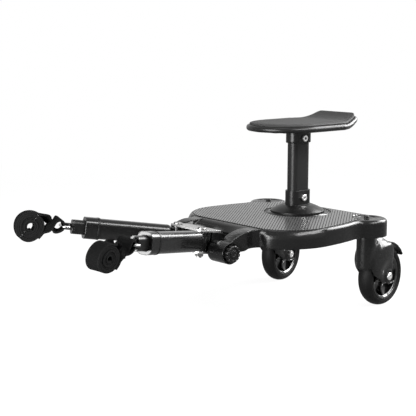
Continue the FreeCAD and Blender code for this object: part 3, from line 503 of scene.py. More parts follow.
def lathed(name, rows, shape, steps):
    """A solid along the X axis, closed at both ends, from rows in millimetres of x, radius and a share.

    The shape gives the reach at an angle from a row's radius and share."""
    angles = [math.tau * k / steps for k in range(steps)]
    places = [[about_x(x, shape(r, share, a), a) for a in angles] for x, r, share in rows]
    return meshed(skinned(places), name)


def reskinned(node, voxel):
    """The mesh of a node of the frame as one skin of even small faces, their size in millimetres."""
    holder = shown("skin", meshed(merged(node), "skin"))
    remesh = holder.modifiers.new("skin", "REMESH")
    remesh.mode = "VOXEL"
    remesh.voxel_size = voxel * MM
    return applied(holder)


def soften(holder, rounds, group=""):
    """Adds rounds of smoothing to an object, all over or by the weights of a vertex group."""
    smooth = holder.modifiers.new("soften", "SMOOTH")
    smooth.factor = 0.5
    smooth.iterations = rounds
    smooth.vertex_group = group


def joined(name, meshes):
    """Several meshes as one."""
    form = bmesh.new()
    for mesh in meshes:
        form.from_mesh(mesh)
    return meshed(form, name)


def arc(centre, radius, start, end, count):
    """Points of an arc in a plane, angles in degrees."""
    angles = [math.radians(start + (end - start) * k / (count - 1)) for k in range(count)]
    return [(centre[0] + radius * math.cos(a), centre[1] + radius * math.sin(a)) for a in angles]


def smooth_line(points):
    """Points along the NURBS line of order 3 that a list of plane control points gives."""
    curve = bpy.data.curves.new("line", "CURVE")
    curve.dimensions = "3D"
    curve.resolution_u = 3
    spline = curve.splines.new("NURBS")
    spline.points.add(len(points) - 1)
    for spot, point in zip(spline.points, points):
        spot.co = (point[0], point[1], 0.0, 1.0)
    spline.order_u = 3
    spline.use_endpoint_u = True
    line = applied(shown("line", curve))
    return [Vector(vertex.co[:2]) for vertex in line.vertices]


def ease(value, low, high):
    """0 below low, 1 above high, smooth between."""
    t = min(max((value - low) / (high - low), 0.0), 1.0)
    return t * t * (3 - 2 * t)


# Each strap in millimetres and degrees: from its crossing to the ring and to the roll, the roll's radius and
# core, how the strap droops, turns aside and twists in the ring, and the phase of its small waves
STRAP_SIZES = {
    "left": {"leg": 18.0, "run": 29.0, "roll": 19.8, "core": 3.2, "droop": 13.0, "turn": -8.0, "twist": -30.0,
             "phase": 0.4},
    "right": {"leg": 16.5, "run": 24.0, "roll": 21.8, "core": 5.2, "droop": -6.0, "turn": 0.0, "twist": -20.0,
              "phase": 2.3},
}
STRAP_WIDTH = 25.0
STRAP_HALF_THICKNESS = 1.4
STRAP_PITCH = 2.9
STRAP_LOOP = 9.5
STRAP_RING_REACH = 5.95
STRAP_CURL = 1.9
STRAP_FLAT = 0.02
STRAP_EDGE = 0.55
STRAP_ASIDE = 6.6
STRAP_DRIFT = 0.8
STRAP_STATIONS = (-1.0, -0.965, -0.7, -0.35, 0.0, 0.35, 0.7, 0.965, 1.0)
STRAP_STEPS = 24
RING_HALF_SPAN = 5.5


def strap_route(size):
    """Control points of a strap in its plane, from its tucked end round the ring to the roll's core.

    The crossing is at the origin, x is out along the arm and y is up. Gives its tail, loop and roll."""
    leg, run, roll = size["leg"], size["run"], size["roll"]
    lean = math.asin(STRAP_LOOP / leg)
    hub = Vector((run, (run * math.sin(lean) - roll) / math.cos(lean)))

    def wobble(angle, radius):
        swing = 1.0 * math.cos(2 * angle + size["phase"]) + 0.5 * math.cos(3 * angle + 2 * size["phase"])
        return hub + Vector((math.cos(angle), math.sin(angle))) * (radius + swing * radius / roll)

    facing = math.atan2(-hub.y, -hub.x)
    tail = [wobble(facing + math.radians(a), roll + 0.2) for a in (66, 48, 30, 12)]
    back = math.degrees(lean)
    loop = arc((-leg, 0), STRAP_LOOP * 1.02, 90 - back, 270 + back, 9)
    coil = []
    angle = math.pi / 2 + lean
    radius = roll
    while radius > size["core"]:
        turn = math.pi / 2 + lean - angle
        coil.append(wobble(angle, radius * 1.004 + 0.1 * math.sin(1.37 * turn + size["phase"])))
        angle -= math.tau / STRAP_STEPS
        radius -= STRAP_PITCH / STRAP_STEPS
    return [*tail, Vector((0, 0))], [Vector(p) for p in loop], [Vector((0, 0)), *coil]


def spun(first, second, angle):
    """Two coordinates turned by an angle."""
    cosine, sine = math.cos(angle), math.sin(angle)
    return first * cosine - second * sine, first * sine + second * cosine


def strap_section(here, left, curl, aside, yaw, size):
    """Places round the band's section at one point of its line, each with its place across the webbing."""
    hub_out = size["run"] * MM
    leg = size["leg"] * MM
    half = STRAP_WIDTH / 2 * MM
    ring = []
    for face in (1, -1):
        for u in STRAP_STATIONS[::face]:
            bend = curl * u
            thick = face * STRAP_HALF_THICKNESS * MM * (STRAP_EDGE if abs(u) == 1 else 1.0)
            across = half * math.sin(bend) / curl - thick * math.sin(bend)
            rise = half * (1 - math.cos(bend)) / curl + thick * math.cos(bend)
            x, y, z = here.x + left.x * rise, aside + across, here.y + left.y * rise
            held = ease(x, -leg - 7 * MM, -0.5 * leg) * (1 - ease(x, -0.4 * leg, 3 * MM))
            y, z = spun(y, z, math.radians(size["twist"]) * held)
            x, y = spun(x - hub_out, y, yaw)
            ring.append(((x + hub_out, y, z), (u * 0.5 + 0.5) * STRAP_WIDTH * MM))
    return ring


def strap_mesh(name, size):
    """The strap's band and its length: pinched at its crossing, flat round the ring and in its roll."""
    tail, loop, roll = strap_route(size)
    line = smooth_line([p * MM for p in (*tail, *loop, *roll)])
    run = [0.0]
    for before, after in zip(line, line[1:]):
        run.append(run[-1] + (after - before).length)
    middle = int(len(line) * (len(tail) + len(loop) / 2) / (len(tail) + len(loop) + len(roll)))
    first = min(range(middle), key=lambda i: line[i].length)
    second = min(range(middle, len(line)), key=lambda i: line[i].length)
    sections = []
    for i, here in enumerate(line):
        ahead = (line[min(i + 1, len(line) - 1)] - line[max(i - 1, 0)]).normalized()
        pinch = [1 - ease(abs(run[i] - run[k]), 2.0 * MM, 17.0 * MM) for k in (first, second)]
        drift = STRAP_DRIFT * math.sin(run[i] / (21 * MM) + size["phase"]) * (1 - max(pinch))
        settled = ease(run[first] - run[i], 0, 12 * MM) + ease(run[i] - run[second], 0, 24 * MM)
        sections.append(strap_section(
            here, Vector((-ahead.y, ahead.x)), STRAP_CURL * max(*pinch, STRAP_FLAT),
            (STRAP_ASIDE * (pinch[0] - pinch[1]) + drift) * MM, math.radians(size["turn"]) * settled, size))
    form = skinned([[spot for spot, _ in section] for section in sections])
    marks = [(across, run[i]) for i, section in enumerate(sections) for _, across in section]
    chart = form.loops.layers.uv.new("strap")
    for face in form.faces:
        for corner in face.loops:
            corner[chart].uv = marks[corner.vert.index]
    return meshed(form, name), run[-1]


class BOARD_OT_straps(Operator):
    """Rolls up the two hitch straps and loops them through their rings"""

    bl_idname = "board.straps"
    bl_label = "Hitch straps"

    def execute(self, context):
        for side, name in SIDES:
            size = STRAP_SIZES[name]
            mesh, length = strap_mesh(f"hitch_strap_{name}", size)
            out = Vector(joint(f"reach_{name}")["axis"]).normalized()
            up = Vector(joint(f"swing_{name}")["axis"]).normalized() * side
            droop = math.radians(size["droop"])
            along = out * math.cos(droop) - up * math.sin(droop)
            rise = up * math.cos(droop) + out * math.sin(droop)
            low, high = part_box(f"strap_ring_{name}")
            start = (low + high) / 2 + out * (RING_HALF_SPAN * MM)
            crossing = start + along * ((STRAP_RING_REACH + size["leg"]) * MM)
            place = Matrix((along, rise.cross(along), rise)).transposed().to_4x4()
            mesh.transform(Matrix.Translation(crossing) @ place)
            made = piece(
                f"hitch_strap_{name}", mesh, f"slider_{name}", "webbing", "webbing",
                f"strap_loop_{name}", f"strap_roll_{name}")
        return {"FINISHED"}


# The deck's corners: the edge radius of the solid, the rounding in its place and the height that it takes
DECK_ROUND = 6.0
DECK_BEND = 20.0
DECK_SWEEP = 14.2
DECK_LEVELS = 14
# Where the rounding comes in across the deck and goes out along it
DECK_CORNER = (80.0, 88.0)
DECK_REAR = (70.0, 110.0)
DECK_FRONT = -21.0
DECK_SIDE = 82.0


def hull_of(points):
    """The convex outline round plane points, in order."""
    rows = []
    forward = sorted(points, key=tuple)
    for line in (forward, forward[::-1]):
        row = []
        for point in line:
            while len(row) > 1 and (row[-1] - row[-2]).cross(point - row[-1]) <= 0:
                row.pop()
            row.append(point)
        rows += row[:-1]
    return rows


def depth_within(point, outline):
    """How far a plane point lies inside an outline, and the way to its nearest edge."""
    least, way = None, None
    for here, after in zip(outline, outline[1:] + outline[:1]):
        along = (after - here).normalized()
        inward = Vector((-along.y, along.x))
        depth = (point - here).dot(inward)
        if least is None or depth < least:
            least, way = depth, -inward
    return least, way


class BOARD_OT_deck(Operator):
    """Rounds the deck's front corners over, from an upright foot to the top"""

    bl_idname = "board.deck"
    bl_label = "Deck"

    def execute(self, context):
        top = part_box("grip_mat")[1].z - 0.6 * MM
        form = merged("deck_shell")
        reach, bend, curve = DECK_SWEEP * MM, DECK_BEND * MM, DECK_ROUND * MM
        for k in range(1, DECK_LEVELS):
            centres = [(f, f.calc_center_median()) for f in form.faces]
            near = [f for f, centre in centres if abs(centre.x) > 60 * MM and centre.y < 100 * MM]
            parts = dict.fromkeys(
                [*near, *(e for f in near for e in f.edges), *(v for f in near for v in f.verts)])
            bmesh.ops.bisect_plane(
                form, geom=list(parts), plane_co=(0, 0, top - reach + reach * k / DECK_LEVELS),
                plane_no=(0, 0, 1), dist=0.02 * MM)
        ring = hull_of([
            v.co.xy for v in form.verts if v.co.z > top - reach / 2
            and v.co.y > DECK_FRONT * MM and (abs(v.co.x) > DECK_SIDE * MM or v.co.y > 0)])
        for vert in form.verts:
            rise = vert.co.z - (top - reach)
            weight = ease(abs(vert.co.x) / MM, *DECK_CORNER) * (1 - ease(vert.co.y / MM, *DECK_REAR))
            if rise < 0 or vert.co.z > top + 0.1 * MM or weight == 0:
                continue
            depth, out = depth_within(vert.co.xy, ring)
            above = min(max(vert.co.z - (top - curve), 0.0), curve)
            now = curve - math.sqrt(curve * curve - above * above)
            if abs(depth - now) > 0.5 * MM:
                continue
            wanted = bend - math.sqrt(bend ** 2 - min(rise, reach) ** 2)
            move = out * ((now - wanted) * weight)
            vert.co.x += move.x
            vert.co.y += move.y
        piece("deck_moulded", meshed(form, "deck"), "deck", "deck", "deck_gloss", "deck_shell", crease=30.0)
        return {"FINISHED"}


MAT_RIB_TURN = 40.0
MAT_RIB_FOOT = 0.82
MAT_RIB_CREST = 0.42


class BOARD_OT_mat(Operator):
    """Moulds the grip mat: a base with slanting ribs, cut to the mat's own outline"""

    bl_idname = "board.mat"
    bl_label = "Grip mat"

    def execute(self, context):
        sizes = context.scene.board_sizes
        low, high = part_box("grip_mat")
        middle = (low.z + high.z) / 2
        base = merged("grip_mat")
        cutter = merged("grip_mat")
        for vert in base.verts:
            if vert.co.z > middle:
                vert.co.z = high.z - sizes.rib_height
        for vert in cutter.verts:
            vert.co.z = high.z - sizes.rib_height - 0.3 * MM if vert.co.z < middle else high.z + MM
        reach = (high - low).length
        count = int(reach / sizes.rib_pitch)
        ribs = Pattern("mat_ribs", Pitch=sizes.rib_pitch, Height=2 * sizes.rib_height, Count=count)
        turn = math.radians(MAT_RIB_TURN)
        across = Vector((math.cos(turn), math.sin(turn), 0))
        centre = Vector(((low.x + high.x) / 2, (low.y + high.y) / 2, high.z - sizes.rib_height))
        start = centre - across * (sizes.rib_pitch * (count - 1) / 2)
        line = ribs.node("GeometryNodeMeshLine", {"mode": "OFFSET"}, {
            "Count": ribs.size("Count"), "Start Location": start, "Offset": across * sizes.rib_pitch})
        pitch = ribs.size("Pitch")
        profile = ribs.node("GeometryNodeCurvePrimitiveQuadrilateral", {"mode": "TRAPEZOID"}, {
            "Height": ribs.size("Height"), "Bottom Width": pitch * MAT_RIB_FOOT,
            "Top Width": pitch * MAT_RIB_CREST, "Offset": 0.0})
        path = ribs.node("GeometryNodeCurvePrimitiveLine", None, {
            "Start": (0, -reach / 2, 0), "End": (0, reach / 2, 0)})
        bar = ribs.node("GeometryNodeCurveToMesh", None, {
            "Curve": path, "Profile Curve": profile, "Fill Caps": True})
        laid = ribs.node("GeometryNodeInstanceOnPoints", None, {
            "Points": line, "Instance": bar, "Rotation": (0, 0, turn)})
        solid = ribs.node("GeometryNodeRealizeInstances", None, {"Geometry": laid})
        cut = ribs.node(
            "GeometryNodeMeshBoolean", {"operation": "INTERSECT", "solver": "EXACT"}, {"Mesh 2": solid})
        ribs.tree.links.new(ribs.size("Geometry").socket, cut.socket.node.inputs["Mesh 2"])
        mesh = ribs.run(cut, "mat", meshed(cutter, "mat_cutter"))
        whole = joined("grip_mat_ribbed", [meshed(base, "mat_base"), mesh])
        piece("grip_mat_ribbed", whole, "deck", "mat", "grip_rubber", "grip_mat")
        return {"FINISHED"}


# Each fork in millimetres, in the wheel's frame: its crown's middle, radii, and how far from where it changes
FORK_VOXEL = 1.0
FORK_DOME = 4.0
FORK_CROWN = Vector((-17.0, 32.0))
FORK_CROWN_RADIUS = 34.5
FORK_BOSS_RADIUS = 12.5
FORK_BOSS_MARK = 10.2
FORK_DOME_START = (13.0, 34.0)
FORK_CHEEK = (12.5, 16.8)
FORK_RIM = (53.0, 60.0)
FORK_STEM_FRONT = (16.0, 26.0)
FORK_STEM_BACK = (44.0, 54.0)
FORK_STEM_TOP = (56.0, 68.0)
FORK_STEM_OUT = (7.0, 11.0)


def wheel_matrix(name):
    """From the wheel's own frame, with X along the axle, to the board."""
    roll = joint(f"roll_{name}")
    axle = Vector(roll["axis"]).normalized()
    up = Vector((0, 0, 1))
    turn = Matrix((axle, up.cross(axle), up)).transposed().to_4x4()
    return Matrix.Translation(Vector(roll["pos_m"])) @ turn


def cheek_dome(spot):
    """How far a spot of the fork, in millimetres in the wheel's frame, swells out over the flat cheek."""
    flat = Vector((spot.y, spot.z))
    share = min(max(flat.dot(FORK_CROWN) / FORK_CROWN.length_squared, 0.0), 1.0)
    radius = FORK_BOSS_RADIUS + (FORK_CROWN_RADIUS - FORK_BOSS_RADIUS) * share
    off = (flat - FORK_CROWN * share).length / radius
    rise = math.sqrt(max(0.0, 1.0 - off * off))
    return FORK_DOME * rise * ease(flat.length, *FORK_DOME_START) * ease(abs(spot.x), *FORK_CHEEK)


def crown_pinch(spot):
    """How much of its width a spot keeps where the fork's crown rounds over above the wheel."""
    flat = Vector((spot.y, spot.z))
    rim = ease(flat.length, *FORK_RIM) * ease((flat - FORK_CROWN).length, 16.0, FORK_CROWN_RADIUS)
    return 1 - 0.5 * rim * ease(spot.y, -31.0, -24.0) * (1 - ease(spot.y, 0.0, 12.0))


class BOARD_OT_forks(Operator):
    """Domes each caster fork's cheeks and blends its stem, hood and cheeks into one moulded form"""

    bl_idname = "board.forks"
    bl_label = "Caster forks"

    def execute(self, context):
        for _, name in SIDES:
            node = f"caster_fork_{name}"
            mesh = reskinned(node, FORK_VOXEL)
            holder = shown("fork", mesh)
            valley = holder.vertex_groups.new(name="valley")
            place = wheel_matrix(name)
            back = place.inverted()
            dark = []
            for vert in mesh.vertices:
                spot = back @ vert.co / MM
                out = abs(spot.x)
                far = ease(math.hypot(spot.y, spot.z), FORK_BOSS_MARK, FORK_BOSS_MARK + 1)
                dark.append((1 - far) * ease(out, 16.5, 17.5))
                stem = ease(-spot.y, *FORK_STEM_FRONT) * (1 - ease(-spot.y, *FORK_STEM_BACK))
                blend = stem * ease(out, *FORK_STEM_OUT) * (1 - ease(spot.z, *FORK_STEM_TOP))
                valley.add([vert.index], blend, "REPLACE")
                spot.x = (spot.x + math.copysign(cheek_dome(spot), spot.x)) * crown_pinch(spot)
                vert.co = place @ (spot * MM)
            soften(holder, 14)
            soften(holder, 40, "valley")
            mesh = applied(holder)
            mesh.attributes.new("boss", "FLOAT", "POINT").data.foreach_set("value", dark)
            piece(f"fork_blended_{name}", mesh, f"caster_{name}", "fork", "fork_gloss", node, crease=60.0)
        return {"FINISHED"}


def hexagon(radius, share, angle):
    """A circle's reach at an angle, or by a share that of the hexagon within it."""
    within = angle % (math.pi / 3) - math.pi / 6
    return radius * (math.cos(math.pi / 6) / math.cos(within)) ** share


# Rows of the bolts' heads: place, radius and share of a hexagon; the last ones go down into the key socket
HEAD_STEPS = 48
POST_HEAD = (
    (0, 6.0, 1), (2.7, 6.0, 1), (3.2, 5.6, 0.8), (3.6, 4.9, 0.1), (3.6, 2.5, 0.6), (3.3, 2.2, 1),
    (1.2, 2.1, 1))
POST_HEAD_DEPTH = 3.6
POST_SHANK = 3.0
AXLE_HEAD = (
    (0, 6.2, 0), (0.9, 6.2, 0), (1.7, 5.7, 0), (2.3, 4.7, 0), (2.7, 3.2, 0), (2.8, 2.2, 0), (2.6, 1.7, 1),
    (1.4, 1.6, 1))
AXLE_SHANK = 4.0

# Rows along the knob: place, radius and depth of its notches; the face has a raised rim and a raised middle
KNOB_DEPTH = 10.0
KNOB_ROWS = (
    (0, 8, 0), (1.5, 8, 0), (1.5, 11.6, 0), (1.5, 12.4, 1.6), (2.1, 12.95, 2.2), (8.6, 12.95, 2.2),
    (9.5, 12.3, 1.9), (10, 11.2, 1), (10, 9.9, 0.2), (9.5, 9.3, 0), (8.2, 8.9, 0), (8, 8.4, 0), (8, 6.9, 0.5),
    (8.3, 6.5, 0.6), (9.5, 6.2, 0.6), (9.9, 5.6, 0.5), (9.9, 3.2, 0), (9.3, 2.7, 0), (8.9, 2.6, 0))


class BOARD_OT_knobs(Operator):
    """Clamp knobs with a notched grip and a stepped face"""

    bl_idname = "board.knobs"
    bl_label = "Clamp knobs"

    def execute(self, context):
        count = context.scene.board_sizes.notches

        def notched(radius, depth, angle):
            return radius - depth * max(0.0, math.cos(count * angle)) ** 2

        for side, name in SIDES:
            low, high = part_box(f"hinge_knob_{name}")
            base = (high.x if side > 0 else -low.x) / MM - KNOB_DEPTH
            rows = [(side * (base + x), radius, depth) for x, radius, depth in KNOB_ROWS]
            mesh = lathed("knob", rows, notched, 16 * count)
            middle = (low + high) / 2
            mesh.transform(Matrix.Translation((0, middle.y, middle.z)))
            piece(f"clamp_knob_{name}", mesh, f"knob_{name}", "knob", "knob_plastic", f"hinge_knob_{name}",
                  crease=38.0)
        return {"FINISHED"}


class BOARD_OT_bolts(Operator):
    """Heads of the post's cross bolts and of the axle bolts, with their key sockets"""

    bl_idname = "board.bolts"
    bl_label = "Bolts"

    def execute(self, context):
        low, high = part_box("post_bolts")
        heights = [vert.co.z for vert in frame["nodes"]["post_bolts"].data.vertices]
        middle = (low.z + high.z) / 2
        ends = [[z for z in heights if (z > middle) == upper] for upper in (False, True)]
        lower, upper = [(min(zs) + max(zs)) / 2 for zs in ends]
        seat = high.x / MM - POST_HEAD_DEPTH
        rows = ((low.x / MM - seat, POST_SHANK, 0), (0, POST_SHANK, 0), *POST_HEAD)
        bolts = Pattern("post_bolts", Count=2, Pitch=upper - lower)
        rise = bolts.node("ShaderNodeCombineXYZ", None, {"Z": bolts.size("Pitch")})
        line = bolts.node("GeometryNodeMeshLine", {"mode": "OFFSET"}, {
            "Count": bolts.size("Count"), "Offset": rise,
            "Start Location": (seat * MM, (low.y + high.y) / 2, lower)})
        laid = bolts.node(
            "GeometryNodeInstanceOnPoints", None, {"Points": line, "Instance": bolts.size("Geometry")})
        mesh = bolts.run(laid, "steel", lathed("post_bolt", rows, hexagon, HEAD_STEPS))
        piece("post_bolts_hex", mesh, "seat", "steel", "bright_steel", "post_bolts", crease=28.0)
        for _, name in SIDES:
            place = wheel_matrix(name)
            back = place.inverted()
            spots = [back @ vert.co / MM for vert in frame["nodes"][f"axle_bolt_{name}"].data.vertices]
            wide = [spot.x for spot in spots if math.hypot(spot.y, spot.z) > 5.0]
            side = 1 if sum(wide) > 0 else -1
            seat = min(x * side for x in wide)
            tip = min(spot.x * side for spot in spots)
            rows = [(tip, AXLE_SHANK, 0), (seat, AXLE_SHANK, 0)]
            rows += [(seat + x, radius, share) for x, radius, share in AXLE_HEAD]
            mesh = lathed("axle_bolt", rows, hexagon, HEAD_STEPS)
            mesh.transform(place @ Matrix.Rotation(math.pi if side < 0 else 0.0, 4, "Z"))
            piece(f"axle_bolt_domed_{name}", mesh, f"caster_{name}", "steel", "bright_steel",
                  f"axle_bolt_{name}", crease=40.0)
        return {"FINISHED"}


# The wheel's outlines in its own frame, as (x, radius): the tyre's bead and side rings, the rim and the boss
TYRE_RADIUS = 50.0
TYRE_CROWN = 18.33
TYRE_CROWN_HALF_ANGLE = 41.5
TYRE_SIDE = (
    (11.2, 36.9), (12.0, 37.6), (12.5, 38.6), (12.6, 39.8), (12.15, 40.2), (12.15, 40.7), (12.65, 41.1),
    (12.68, 43.4), (12.25, 43.8), (12.25, 44.3), (12.55, 44.7))
WHEEL_RIM = (
    (-11.1, 36.75), (-11.1, 35.6), (-10.4, 34.9), (-9.9, 33.9), (-9.2, 33.3), (9.2, 33.3), (9.9, 33.9),
    (10.4, 34.9), (11.1, 35.6), (11.1, 36.75))
WHEEL_BOSS = (
    (-12.2, 11.1), (-12.2, 12.9), (-11.2, 13.9), (11.2, 13.9), (12.2, 12.9), (12.2, 11.1), (5.4, 11.1),
    (5.4, 7.7), (-5.4, 7.7), (-5.4, 11.1))
SPOKE_FROM = 12.6
SPOKE_TO = 34.0
SPOKE_HALF_WIDTH = 7.6
SPOKE_FLARE = 1.6
SPOKE_LEAN = 30.0
SPOKE_ROWS = 8
SPOKE_EDGE = 0.9


def tyre_outline():
    """Half round crown, side rings and bead of the tyre, as (x, radius)."""
    half = TYRE_CROWN_HALF_ANGLE
    crown = arc((0, TYRE_RADIUS - TYRE_CROWN), TYRE_CROWN, 90 - half, 90 + half, 15)
    return [*TYRE_SIDE, *crown, *((-x, r) for x, r in reversed(TYRE_SIDE))]


def spoke_mesh():
    """One curved spoke with eased edges, in the wheel's frame."""
    rows = []
    for k in range(SPOKE_ROWS + 1):
        share = k / SPOKE_ROWS
        radius = SPOKE_FROM + (SPOKE_TO - SPOKE_FROM) * share
        lean = math.radians(SPOKE_LEAN * share * (0.5 + 0.5 * share))
        thick = (4.4 - 1.2 * math.sin(math.pi * share)) / radius
        flare = SPOKE_HALF_WIDTH + SPOKE_FLARE * (2 * share - 1) ** 2
        corners = ((-flare, lean), (flare, lean), (flare, lean + thick), (-flare, lean + thick))
        rows.append([about_x(x, radius, angle) for x, angle in corners])
    form = skinned(rows)
    rails = []
    for edge in form.edges:
        run = edge.verts[0].co - edge.verts[1].co
        if abs(run.x) < 3 * MM and run.length < 5 * MM and edge.is_manifold and edge.calc_face_angle(0) > 0.8:
            rails.append(edge)
    bmesh.ops.bevel(form, geom=rails, offset=SPOKE_EDGE * MM, segments=3, profile=0.5, affect="EDGES")
    return meshed(form, "spoke")


class BOARD_OT_wheels(Operator):
    """Turns the tyres and builds the spoked wheels"""

    bl_idname = "board.wheels"
    bl_label = "Wheels"

    def execute(self, context):
        number = context.scene.board_sizes.spokes
        for _, name in SIDES:
            place = wheel_matrix(name)
            tyre = turned("tyre", tyre_outline())
            tyre.transform(place)
            piece(f"tyre_ringed_{name}", tyre, f"wheel_{name}", "tyre", "tyre_rubber", f"tyre_{name}")
            spokes = Pattern("spokes", Count=number)
            count = spokes.size("Count")
            points = spokes.node("GeometryNodePoints", None, {"Count": count})
            index = spokes.node("GeometryNodeInputIndex")
            turn = spokes.node("ShaderNodeCombineXYZ", None, {"X": index * math.tau / count})
            set_out = spokes.node("GeometryNodeInstanceOnPoints", None, {
                "Points": points, "Instance": spokes.size("Geometry"), "Rotation": turn})
            mesh = spokes.run(set_out, "hub", spoke_mesh())
            hub = joined("hub", [turned("rim", WHEEL_RIM), turned("boss", WHEEL_BOSS, 64), mesh])
            hub.transform(place)
            piece(f"wheel_spoked_{name}", hub, f"wheel_{name}", "hub", "wheel_plastic", f"wheel_hub_{name}")
        return {"FINISHED"}


PAN_VOXEL = 1.2
PAN_SOCKET_REACH = 34.0
PAN_ROUNDS = 22


class BOARD_OT_pan(Operator):
    """Rounds the rim of the seat pan over"""

    bl_idname = "board.pan"
    bl_label = "Seat pan"

    def execute(self, context):
        mesh = reskinned("seat_pan", PAN_VOXEL)
        low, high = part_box("seat_post")
        middle = (low + high) / 2
        holder = shown("pan", mesh)
        rim = holder.vertex_groups.new(name="rim")
        for vert in mesh.vertices:
            off = math.hypot(vert.co.x - middle.x, vert.co.y - middle.y) / MM
            rim.add([vert.index], ease(off, PAN_SOCKET_REACH, PAN_SOCKET_REACH + 8), "REPLACE")
        soften(holder, PAN_ROUNDS, "rim")
        piece("seat_pan_rounded", applied(holder), "seat", "shell", "seat_shell", "seat_pan", crease=50.0)
        return {"FINISHED"}


PAD_VOXEL = 1.2
PAD_SWELL_CAP = 0.9
PAD_PRESSURE = 4.0
PAD_FRAMES = 20


class BOARD_OT_pad(Operator):
    """Swells the seat pad's foam a little between its edges"""

    bl_idname = "board.pad"
    bl_label = "Seat pad"

    def execute(self, context):
        scene = context.scene
        mesh = reskinned("seat_pad", PAD_VOXEL)
        rest = [vert.co.copy() for vert in mesh.vertices]
        holder = shown("pad", mesh)
        held = holder.vertex_groups.new(name="held")
        held.add([v.index for v in mesh.vertices if v.normal.z < 0.2], 1.0, "REPLACE")
        cloth = holder.modifiers.new("foam", "CLOTH")
        cloth.settings.use_pressure = True
        cloth.settings.uniform_pressure_force = PAD_PRESSURE
        cloth.settings.vertex_group_mass = "held"
        cloth.settings.effector_weights.gravity = 0.0
        for step in range(1, PAD_FRAMES + 1):
            scene.frame_set(step)
        mesh = applied(holder)
        scene.frame_set(1)
        for vert, start in zip(mesh.vertices, rest):
            move = vert.co - start
            if move.length > PAD_SWELL_CAP * MM:
                vert.co = start + move.normalized() * (PAD_SWELL_CAP * MM)
        holder = shown("pad", mesh)
        soften(holder, 2)
        pad = piece("seat_pad_foam", applied(holder), "seat", "foam", "seat_foam", "seat_pad", crease=80.0)
        return {"FINISHED"}


CAMERA_PLACE = Vector((1.18857, -1.07068, 0.44008))
CAMERA_TURN = math.radians(49.52)
CAMERA_DIP = math.radians(9.48)
CAMERA_LENS = 88.55
SKY_LIGHT = 0.4
SKY_IN_MIRRORS = 0.8
FLOOR_IN_MIRRORS = 0.5
FLOOR_REACH = 6.0
# Each soft box: its place, the point that it is aimed at, its size and its power in watts
LAMPS = {
    "back": ((0.25, 1.2, 0.85), (0.1, 0.1, 0.13), (0.9, 0.7), 43),
    "high": ((1.1, 0.4, 1.15), (0.1, 0.05, 0.22), (1.6, 0.4), 54),
    "front": ((0.08, -1.1, 0.27), (0.1, 0, 0.13), (0.75, 0.5), 34),
    "overhead": ((0.0, -0.2, 1.7), (0, 0, 0.15), (0.7, 0.5), 6),
}


def placed(name, data, place, ahead):
    """A lamp or camera at a place, looking a way."""
    made = shown(name, data)
    made.location = place
    made.rotation_euler = ahead.to_track_quat("-Z", "Y").to_euler()
    return made


def soft_box(name, place, aim, size, power):
    """A rectangular lamp at a place, aimed at a point."""
    light = bpy.data.lights.new(name, "AREA")
    light.shape = "RECTANGLE"
    light.size, light.size_y = size
    light.energy = power
    placed(name, light, place, Vector(aim) - Vector(place))


def sight(graph):
    """1 for what the camera sees itself or through a clear piece; and 1 for what it sees in a reflection."""
    rays = graph.node("ShaderNodeLightPath").socket.node.outputs
    kinds = ("Camera", "Glossy", "Transmission")
    straight, mirrored, through = [Wire(graph, rays[f"Is {kind} Ray"]) for kind in kinds]
    return straight + through, mirrored


def floor_paint():
    """A plain pale floor: white ground to the camera, with the part's shadow on it, and grey in mirrors."""
    p = Paint("floor_pale")
    seen, mirrored = sight(p)
    x, y, _ = p.axes()
    far = (x * x + y * y).step(0.3, 4.0)
    diffuse = p.node("ShaderNodeBsdfDiffuse", None, {"Color": grey(0.9)})
    glow = p.node("ShaderNodeEmission", None, {"Color": grey(1.0), "Strength": 1.0})
    ground = p.mixed(seen * (0.93 + far * 0.07), diffuse, glow)
    pale = p.node("ShaderNodeEmission", None, {"Color": grey(FLOOR_IN_MIRRORS), "Strength": 1.0})
    return p.ended(p.mixed(mirrored, ground, pale))


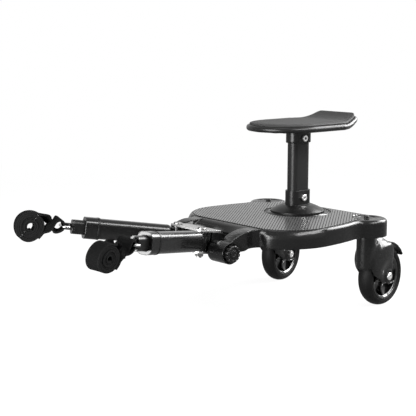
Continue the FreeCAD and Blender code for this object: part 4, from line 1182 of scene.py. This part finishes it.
class BOARD_OT_stage(Operator):
    """Sets the floor, the soft lights and the camera"""

    bl_idname = "board.stage"
    bl_label = "Stage"

    def execute(self, context):
        scene = context.scene
        scene.view_settings.view_transform = "Standard"
        world = bpy.data.worlds.new("studio")
        scene.world = world
        world.use_nodes = True
        world.node_tree.nodes.clear()
        sky = Graph(world.node_tree)
        seen, mirrored = sight(sky)
        lit = sky.node("ShaderNodeBackground", None, {"Color": grey(1.0), "Strength": SKY_LIGHT})
        white = sky.node("ShaderNodeBackground", None, {"Color": grey(1.0), "Strength": 1.0})
        air = sky.mixed(seen + mirrored * SKY_IN_MIRRORS, lit, white)
        sky.node("ShaderNodeOutputWorld", None, {"Surface": air})
        mesh = bpy.data.meshes.new("floor")
        corners = [(x * FLOOR_REACH, y * FLOOR_REACH, 0) for x, y in ((-1, -1), (1, -1), (1, 1), (-1, 1))]
        mesh.from_pydata(corners, [], [(0, 1, 2, 3)])
        mesh.materials.append(floor_paint())
        shown("floor", mesh)
        for name, lamp in LAMPS.items():
            soft_box(name, *lamp)
        lens = bpy.data.cameras.new("camera")
        lens.lens = CAMERA_LENS
        level = math.cos(CAMERA_DIP)
        ahead = Vector((
            -math.sin(CAMERA_TURN) * level, math.cos(CAMERA_TURN) * level, -math.sin(CAMERA_DIP)))
        scene.camera = placed("camera", lens, CAMERA_PLACE, ahead)
        return {"FINISHED"}


class BOARD_PT_panel(Panel):
    """Lists the steps that dress the board"""

    bl_idname = "BOARD_PT_panel"
    bl_label = "Board"
    bl_space_type = "VIEW_3D"
    bl_region_type = "UI"
    bl_category = "Board"

    def draw(self, context):
        for step in STEPS:
            self.layout.operator(step.bl_idname)
        for group in (context.scene.board_finish, context.scene.board_sizes):
            for name in group.__annotations__:
                self.layout.prop(group, name)


STEPS = (
    BOARD_OT_stage, BOARD_OT_finishes, BOARD_OT_deck, BOARD_OT_straps, BOARD_OT_mat, BOARD_OT_forks,
    BOARD_OT_knobs, BOARD_OT_bolts, BOARD_OT_wheels, BOARD_OT_pan, BOARD_OT_pad)
CLASSES = (BoardFinish, BoardSizes, *STEPS, BOARD_PT_panel)


def register():
    for cls in CLASSES:
        bpy.utils.register_class(cls)
    bpy.types.Scene.board_finish = PointerProperty(type=BoardFinish)
    bpy.types.Scene.board_sizes = PointerProperty(type=BoardSizes)


def unregister():
    del bpy.types.Scene.board_sizes
    del bpy.types.Scene.board_finish
    for cls in reversed(CLASSES):
        bpy.utils.unregister_class(cls)


def main():
    register()
    for step in STEPS:
        getattr(bpy.ops.board, step.bl_idname.split(".")[1])()


if __name__ == "__main__":
    main()
